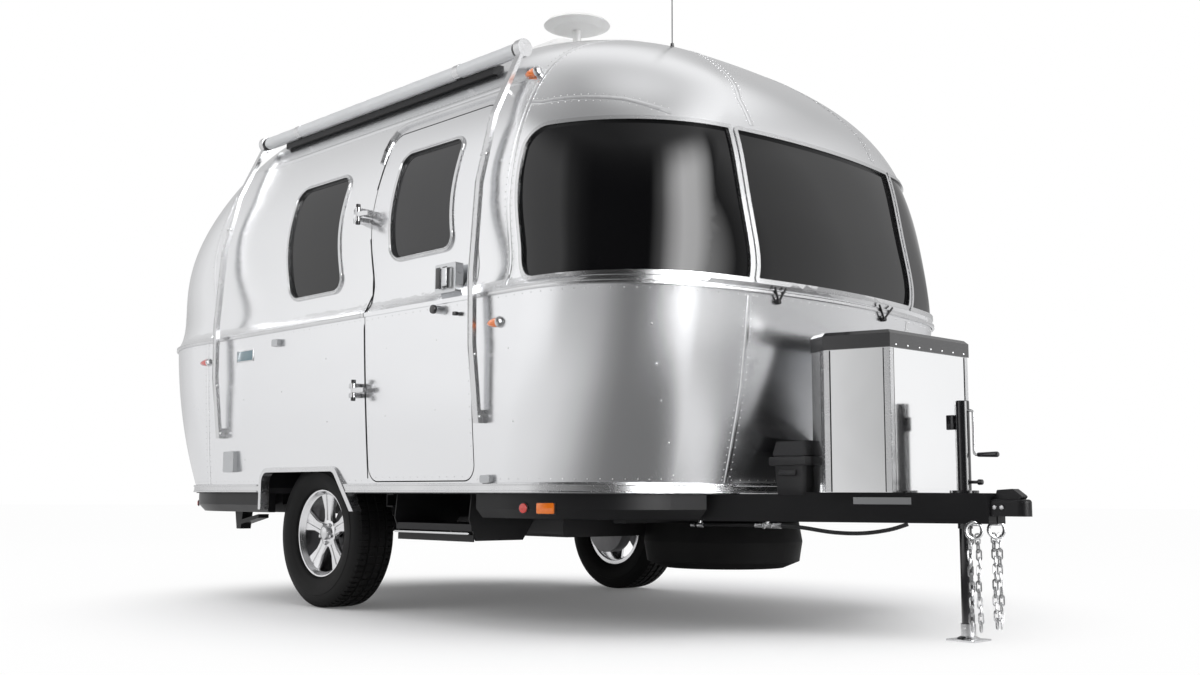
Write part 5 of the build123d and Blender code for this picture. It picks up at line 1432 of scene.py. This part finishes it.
@dataclass
class Tongue:
    """Frame, coupler, jack, chains, gas box and battery box."""

    bench: Bench
    jack_x: float = 2.218
    rail_underside: float = 0.4325
    chain_x: float = 2.300
    chain_y: float = 0.081
    chain_top: float = 0.376
    chain_links: int = 12
    link_pitch: float = 0.0285
    link_half: float = 0.0085
    link_straight: float = 0.0115
    hose_radius: float = 0.008
    hose_line: tuple[Point, ...] = ((1.640, -0.392, 0.416), (1.720, -0.352, 0.411), (1.830, -0.298, 0.394),
                                    (1.930, -0.250, 0.392), (2.020, -0.208, 0.406), (2.085, -0.180, 0.428))
    box_plan: tuple[Pair, ...] = ((2.085, 0.275), (1.83, 0.338), (1.738, 0.292))
    box_heights: Pair = (0.547, 1.085)
    battery_middle: Point = (1.6415, -0.19, 0.64)

    def build(self) -> None:
        """Dresses the tongue's metal and adds its small parts."""
        for node in ("tongue_frame", "chassis_frame", "skirt_front", "skirt_rear", "axle_beam", "axle_arms",
                     "spare_carrier", "rear_steadies", "wheel_boxes", "coupler", "entry_step"):
            self.bench.dress(node, BLACK_PAINT)
        for node, finish in (("jack_tube", GLOSS_BLACK), ("gas_box", BOX_SHEET), ("gas_box_lid", LID_BLACK),
                             ("gas_bottles", BOTTLE_PAINT), ("battery_box", BATTERY)):
            self.bench.dress(node, finish)
        self._crank()
        self._coupler()
        self._gas_box()
        self._battery()
        self._rail_plate()
        self._jack_leg()
        self._jack_block()
        self._chains()
        self._gas_line()
        self._step()

    def _jack_leg(self) -> None:
        """Black inner tube with its pinned foot plate."""
        leg, foot = bmesh.new(), bmesh.new()
        x = self.jack_x
        rod(leg, (x, 0, 0.030), (x, 0, 0.569), 0.0229, segments=40, bevel=0.001)
        block(foot, (x - 0.06, -0.06, 0.0), (x + 0.06, 0.06, 0.007), 0.002)
        socket = [(0.0, 0.006), (0.044, 0.006), (0.040, 0.012), (0.0275, 0.018), (0.0275, 0.062),
                  (0.0250, 0.064), (0.0, 0.064)]
        ring(foot, socket, (x, 0, 0), (0, 0, 1), 40)
        rod(foot, (x, -0.032, 0.046), (x, 0.032, 0.046), 0.0045, bevel=0.001)
        self.bench.piece("jack_leg_tube", leg, GLOSS_BLACK, Body.JACK, ["jack_leg"])
        self.bench.piece("jack_foot_plate", foot, ZINC, Body.JACK)

    def _jack_block(self) -> None:
        """Block behind the outer tube, and the knobbed pin at the front of its foot."""
        blocks = bmesh.new()
        x, pin_z = self.jack_x, 0.585
        block(blocks, (x - 0.052, -0.030, 0.782), (x - 0.020, -0.014, 0.838), 0.003)
        rod(blocks, (x + 0.026, 0, pin_z), (x + 0.062, 0, pin_z), 0.006, bevel=0.001)
        rod(blocks, (x + 0.060, 0, pin_z), (x + 0.078, 0, pin_z), 0.011, 0.010, bevel=0.002)
        self.bench.piece("jack_side_block", blocks, GLOSS_BLACK)

    def _chains(self) -> None:
        """Two doubled safety chains that hang from eyes under the front of the tongue."""
        links, eyes = bmesh.new(), bmesh.new()
        x, ceiling = self.chain_x, self.rail_underside
        for side, wide in ((-1, 0.0125), (1, 0.0085)):
            y = side * self.chain_y
            eye = [Vector((x + 0.021 * c, y + 0.021 * c, 0.408 + 0.030 * s)) for c, s in circle(1.0, 24)]
            closed_tube(eyes, eye, 0.0065, 8)
            block(eyes, (x - 0.018, y * 0.9 - 0.012, 0.424), (x + 0.018, y * 0.9 + 0.012, ceiling), 0.002)
            for strand in (-1, 1):
                for k in range(self.chain_links):
                    drift = wide * strand * (0.85 + 0.15 * math.sin(k * 0.9 + side))
                    centre = Vector((x + drift, y + drift * 0.9, self.chain_top - k * self.link_pitch))
                    turn = math.radians(45 + 90 * (k % 2) + 11 * math.sin(k * 1.9 + side + strand))
                    self._link(links, centre, turn)
        self.bench.piece("safety_chain_links", links, ZINC)
        self.bench.piece("safety_chain_eyes", eyes, ZINC)

    def _link(self, bm: bmesh.types.BMesh, centre: Vector, turn: float) -> None:
        """One oval chain link that stands upright, turned about the vertical."""
        corners = 14
        path = []
        for k in range(corners):
            a = math.tau * (k + 0.5) / corners
            across = self.link_half * math.cos(a)
            rise = self.link_half * math.sin(a) + math.copysign(self.link_straight, math.sin(a))
            path.append(centre + Vector((across * math.cos(turn), across * math.sin(turn), rise)))
        closed_tube(bm, path, 0.0030, 6)

    def _gas_line(self) -> None:
        """Black gas hose that sags under the right-hand rail, with its pipe and bright fittings."""
        hose, pipe, fittings = bmesh.new(), bmesh.new(), bmesh.new()
        points = spline([Vector(p) for p in self.hose_line], 6)
        sweep(hose, circle(self.hose_radius, 10), [(p, Vector((0, 0, 1))) for p in points])
        start, back = points[0], Vector((-0.905, -0.425, 0)).normalized()
        rod(pipe, start + back * 0.09, start + back * 0.34, 0.005, bevel=0.001)
        for near, far, radius in ((-0.012, 0.022, 0.0115), (0.026, 0.048, 0.0100), (0.052, 0.060, 0.0125),
                                  (0.064, 0.092, 0.0085), (0.300, 0.325, 0.0105), (0.335, 0.352, 0.0080)):
            rod(fittings, start + back * near, start + back * far, radius, segments=12, bevel=0.001)
        for reach in (0.040, 0.312):
            at = start + back * reach
            top = (at.x + 0.006, at.y + 0.006, self.rail_underside)
            block(fittings, (at.x - 0.006, at.y - 0.006, at.z), top, 0.001)
        self.bench.piece("gas_hose_line", hose, HOSE_RUBBER)
        self.bench.piece("gas_pipe", pipe, BLACK_PAINT)
        self.bench.piece("gas_fittings", fittings, ZINC)

    def _step(self) -> None:
        """Bright edge along the folded entry step."""
        low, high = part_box("entry_step")
        edge = bmesh.new()
        start = (low.x + 0.004, low.y - 0.002, low.z + 0.030)
        block(edge, start, (high.x - 0.004, low.y + 0.004, low.z + 0.038), 0.001)
        self.bench.piece("step_edge", edge, TRIM)

    def _crank(self) -> None:
        """Bent crank rod with its black grip."""
        bent, grip = bmesh.new(), bmesh.new()
        x, grip_z = self.jack_x + 0.0278, 0.687
        path = [(0.0, 0.854), (0.010, 0.854), (0.016, 0.851), (0.018, 0.845), (0.018, 0.700), (0.020, 0.691),
                (0.026, grip_z), (0.034, grip_z)]
        sweep(bent, circle(0.005, 10), [(Vector((x + a, 0, b)), Vector((0, 1, 0))) for a, b in path])
        handle = [(0.0, 0.0), (0.0078, 0.0), (0.0085, 0.004), (0.0106, 0.070), (0.0106, 0.080),
                  (0.008, 0.084), (0.0, 0.084)]
        ring(grip, handle, (x + 0.034, 0, grip_z), (1, 0, 0), 24)
        self.bench.piece("crank_rod", bent, ZINC, replaces=["jack_crank"])
        self.bench.piece("crank_grip", grip, GLOSS_BLACK)

    def _coupler(self) -> None:
        """The coupler's bolts and the nut on its top."""
        bright, dark = bmesh.new(), bmesh.new()
        for side in (-1, 1):
            for x in (2.366, 2.395):
                near, far = (x, side * 0.040, 0.492), (x, side * 0.048, 0.492)
                rod(bright, near, far, 0.009, segments=6, bevel=0.001)
        rod(dark, (2.440, 0, 0.520), (2.440, 0, 0.546), 0.012, 0.009, bevel=0.002)
        self.bench.piece("coupler_bolts", bright, ZINC)
        self.bench.piece("coupler_nut", dark, GLOSS_BLACK)

    def _gas_box(self) -> None:
        """Corner strips with a dark line beside each, and the lid's rivets."""
        strips, heads, lines = bmesh.new(), bmesh.new(), bmesh.new()
        middle, proud = Vector((1.9, 0, 0)), 0.0006
        pieces = ((strips, 0.011, flat_bar(0.011, -0.0005, 0.0014)),
                  (lines, 0.0245, flat_bar(0.002, -0.0005, 0.0008)))
        for side in (-1, 1):
            corners = [Vector((x, side * y, 0)) for x, y in self.box_plan]
            opposite = Vector((corners[0].x, -corners[0].y, 0))
            for before, at, after in ((opposite, *corners[:2]), corners):
                for other in (before, after):
                    along = (other - at).normalized()
                    out = Vector((along.y, -along.x, 0))
                    if out.dot(at - middle) < 0:
                        out = -out
                    for bm, inset, section in pieces:
                        foot = at + along * inset + out * proud
                        sweep(bm, section, [(Vector((foot.x, foot.y, z)), out) for z in self.box_heights])
        self.bench.piece("gas_box_strips", strips, TRIM)
        self.bench.piece("gas_box_lines", lines, SEAL)
        lid = self.bench.skin_map("gas_box_lid")
        for k in range(-3, 4):
            found = lid.cast((2.6, 0.08 * k, 1.098), (-1, 0, 0))
            if found:
                dome(heads, found[0], found[1], 0.005, 0.003)
        self.bench.piece("lid_rivets", heads, ZINC, Body.GAS_LID)

    def _battery(self) -> None:
        """Strap over the battery box with its buckle, and the box's lid rim and latch."""
        strap, buckle, rim = bmesh.new(), bmesh.new(), bmesh.new()
        box, middle = self.bench.skin_map("battery_box"), Vector(self.battery_middle)
        stations = []
        for degrees in range(0, 181, 12):
            turn = math.radians(degrees)
            out = Vector((math.cos(turn), 0, math.sin(turn)))
            found = box.cast(middle + out * 0.4, -out)
            if found:
                stations.append((found[0], out))
        sweep(strap, flat_bar(0.0125, 0.0, 0.002), stations)
        block(buckle, (1.62, middle.y - 0.018, 0.7445), (1.66, middle.y + 0.018, 0.7515), 0.002)
        block(rim, (1.551, -0.337, 0.650), (1.732, -0.013, 0.684), 0.006)
        block(rim, (1.600, -0.334, 0.610), (1.680, -0.326, 0.632), 0.004)
        self.bench.piece("battery_lid_rim", rim, BATTERY)
        self.bench.piece("battery_strap", strap, SEAL)
        self.bench.piece("battery_buckle", buckle, BATTERY)

    def _rail_plate(self) -> None:
        """Blank silver plate on the right-hand tongue rail."""
        plate = bmesh.new()
        slope, nose_x, nose_y = 0.47, 2.35, 0.06
        along = Vector((1.0, slope, 0.0)).normalized()
        out = Vector((along.y, -along.x, 0.0))
        stations = []
        for x in (1.905, 2.10):
            stations.append((Vector((x, -(nose_y + slope * (nose_x - x)), 0.514)) + out * 0.0002, out))
        sweep(plate, flat_bar(0.013, 0.0, 0.0012), stations)
        self.bench.piece("rail_plate", plate, PLATE)


@dataclass
class Lamps:
    """Marker lamps, reflectors and covers on the body and the skirts."""

    bench: Bench
    skin: SkinDetail
    marker: Point = (0.921, 1.1985, 1.202)
    clearance: Point = (0.900, 0.998, 2.268)
    rear_marker: Pair = (-1.483, 1.214)
    reflectors: tuple[Pair, ...] = ((0.989, 0.020), (-1.85, 0.014))
    side_lamp_x: float = 1.082
    skirt_lamp_z: float = 0.480

    def build(self) -> None:
        """Dresses the lamps and adds their bezels and the skirts' reflectors."""
        self.bench.dress("red_lamps", RED)
        self.bench.dress("wall_covers", GREY_PLASTIC)
        bezels, markers, clearance = bmesh.new(), bmesh.new(), bmesh.new()
        for side in (-1, 1):
            for lens, (x, y, z) in ((markers, self.marker), (clearance, self.clearance)):
                self._bullet(lens, bezels, (x, side * y, z))
            (x, z), y = self.rear_marker, side * self.marker[1]
            rod(bezels, (x, y, z), (x + 0.008, y, z), 0.0205, 0.016, bevel=0.002)
        self.bench.piece("marker_lenses", markers, AMBER, replaces=["amber_lamps"])
        self.bench.piece("clearance_lenses", clearance, AMBER)
        self.bench.piece("lamp_bezels", bezels, ZINC)
        self._skirt_lamps()
        self._badge()

    def _bullet(self, lens: bmesh.types.BMesh, bezel: bmesh.types.BMesh, front: Point) -> None:
        """Half-sunk bullet lamp that points to the rear, with a bright bezel at its front end."""
        glass = [(0.0, 0.0), (0.0190, 0.0), (0.0198, 0.018), (0.0180, 0.040), (0.0140, 0.060),
                 (0.0070, 0.078), (0.0, 0.084)]
        metal = [(0.0, -0.010), (0.010, -0.009), (0.0180, -0.003), (0.0225, 0.004), (0.0225, 0.009),
                 (0.0195, 0.010), (0.0, 0.010)]
        for bm, profile in ((lens, glass), (bezel, metal)):
            ring(bm, profile, front, (-1, 0, 0), 32)

    def _skirt_lamps(self) -> None:
        """Round red reflectors on all four skirts and oblong amber lamps on the front ones."""
        skirts = self.bench.skin_map("skirt_front", "skirt_rear")
        red, amber, bezels = bmesh.new(), bmesh.new(), bmesh.new()
        for side in (-1, 1):
            for x, radius in (*self.reflectors, (self.side_lamp_x, 0.0)):
                found = skirts.cast((x, side * 1.6, self.skirt_lamp_z), (0, -side, 0))
                if not found:
                    continue
                at, out = found[0], Vector((found[1].x, found[1].y, 0)).normalized()
                if radius:
                    rod(bezels, at - out * 0.002, at + out * 0.004, radius + 0.003, bevel=0.001)
                    rod(red, at, at + out * 0.008, radius, radius * 0.9, 28, 0.002)
                    continue
                place = axes_matrix((Vector((-out.y, out.x, 0)), out, Vector((0, 0, 1))), at)
                block(amber, (-0.037, 0.0, -0.021), (0.037, 0.012, 0.021), 0.0055, place)
                block(bezels, (-0.040, -0.001, -0.024), (0.040, 0.003, 0.024), 0.0018, place)
        self.bench.piece("skirt_reflectors", red, RED)
        self.bench.piece("skirt_side_lamps", amber, AMBER)
        self.bench.piece("skirt_lamp_bezels", bezels, SEAL)

    def _badge(self) -> None:
        """Blank enamel badge with a bright rim."""
        badge, rim = bmesh.new(), bmesh.new()
        at = self.skin.map.cast((-1.101, -1.7, 1.219), (0, 1, 0))[0]
        for bm, half, high, proud in ((rim, 0.083, 0.030, 0.003), (badge, 0.078, 0.025, 0.0042)):
            front = (at.x - half, at.y - proud, at.z - high)
            block(bm, front, (at.x + half, at.y + 0.004, at.z + high), 0.0018)
        self.bench.piece("badge_rim", rim, TRIM)
        self.bench.piece("badge_plate", badge, BADGE)


@dataclass
class Remainder:
    """Roof fittings, floor, tank and spare wheel, which keep the frame's shapes."""

    bench: Bench

    def build(self) -> None:
        """Gives each its finish."""
        for finish, nodes in ((WHITE_PLASTIC, ("air_conditioner", "roof_vent", "disc_antenna")),
                              (GLOSS_BLACK, ("radio_whip",)), (BOARD, ("floor",)), (BATTERY, ("water_tank",)),
                              (RUBBER, ("spare_wheel",))):
            for node in nodes:
                self.bench.dress(node, finish)


def build_all(frame: dict) -> None:
    """Builds the classes in order and logs each piece.
    """
    bench = Bench(frame)
    Studio().build()
    skin = SkinDetail(bench)
    skin.build()
    for part in (Windows(bench, skin), Door(bench, skin), Wheel(bench, -1), Wheel(bench, 1), Awning(bench),
                 Tongue(bench), Lamps(bench, skin), Remainder(bench)):
        part.build()
    LOG.info("%d new pieces", bench.count)


def main() -> None:
    """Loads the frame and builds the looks."""
    logging.basicConfig(level=logging.INFO, format="%(relativeCreated)d %(message)s")
    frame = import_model()
    build_all(frame)
    bpy.context.view_layer.update()


if __name__ == "__main__":
    main()
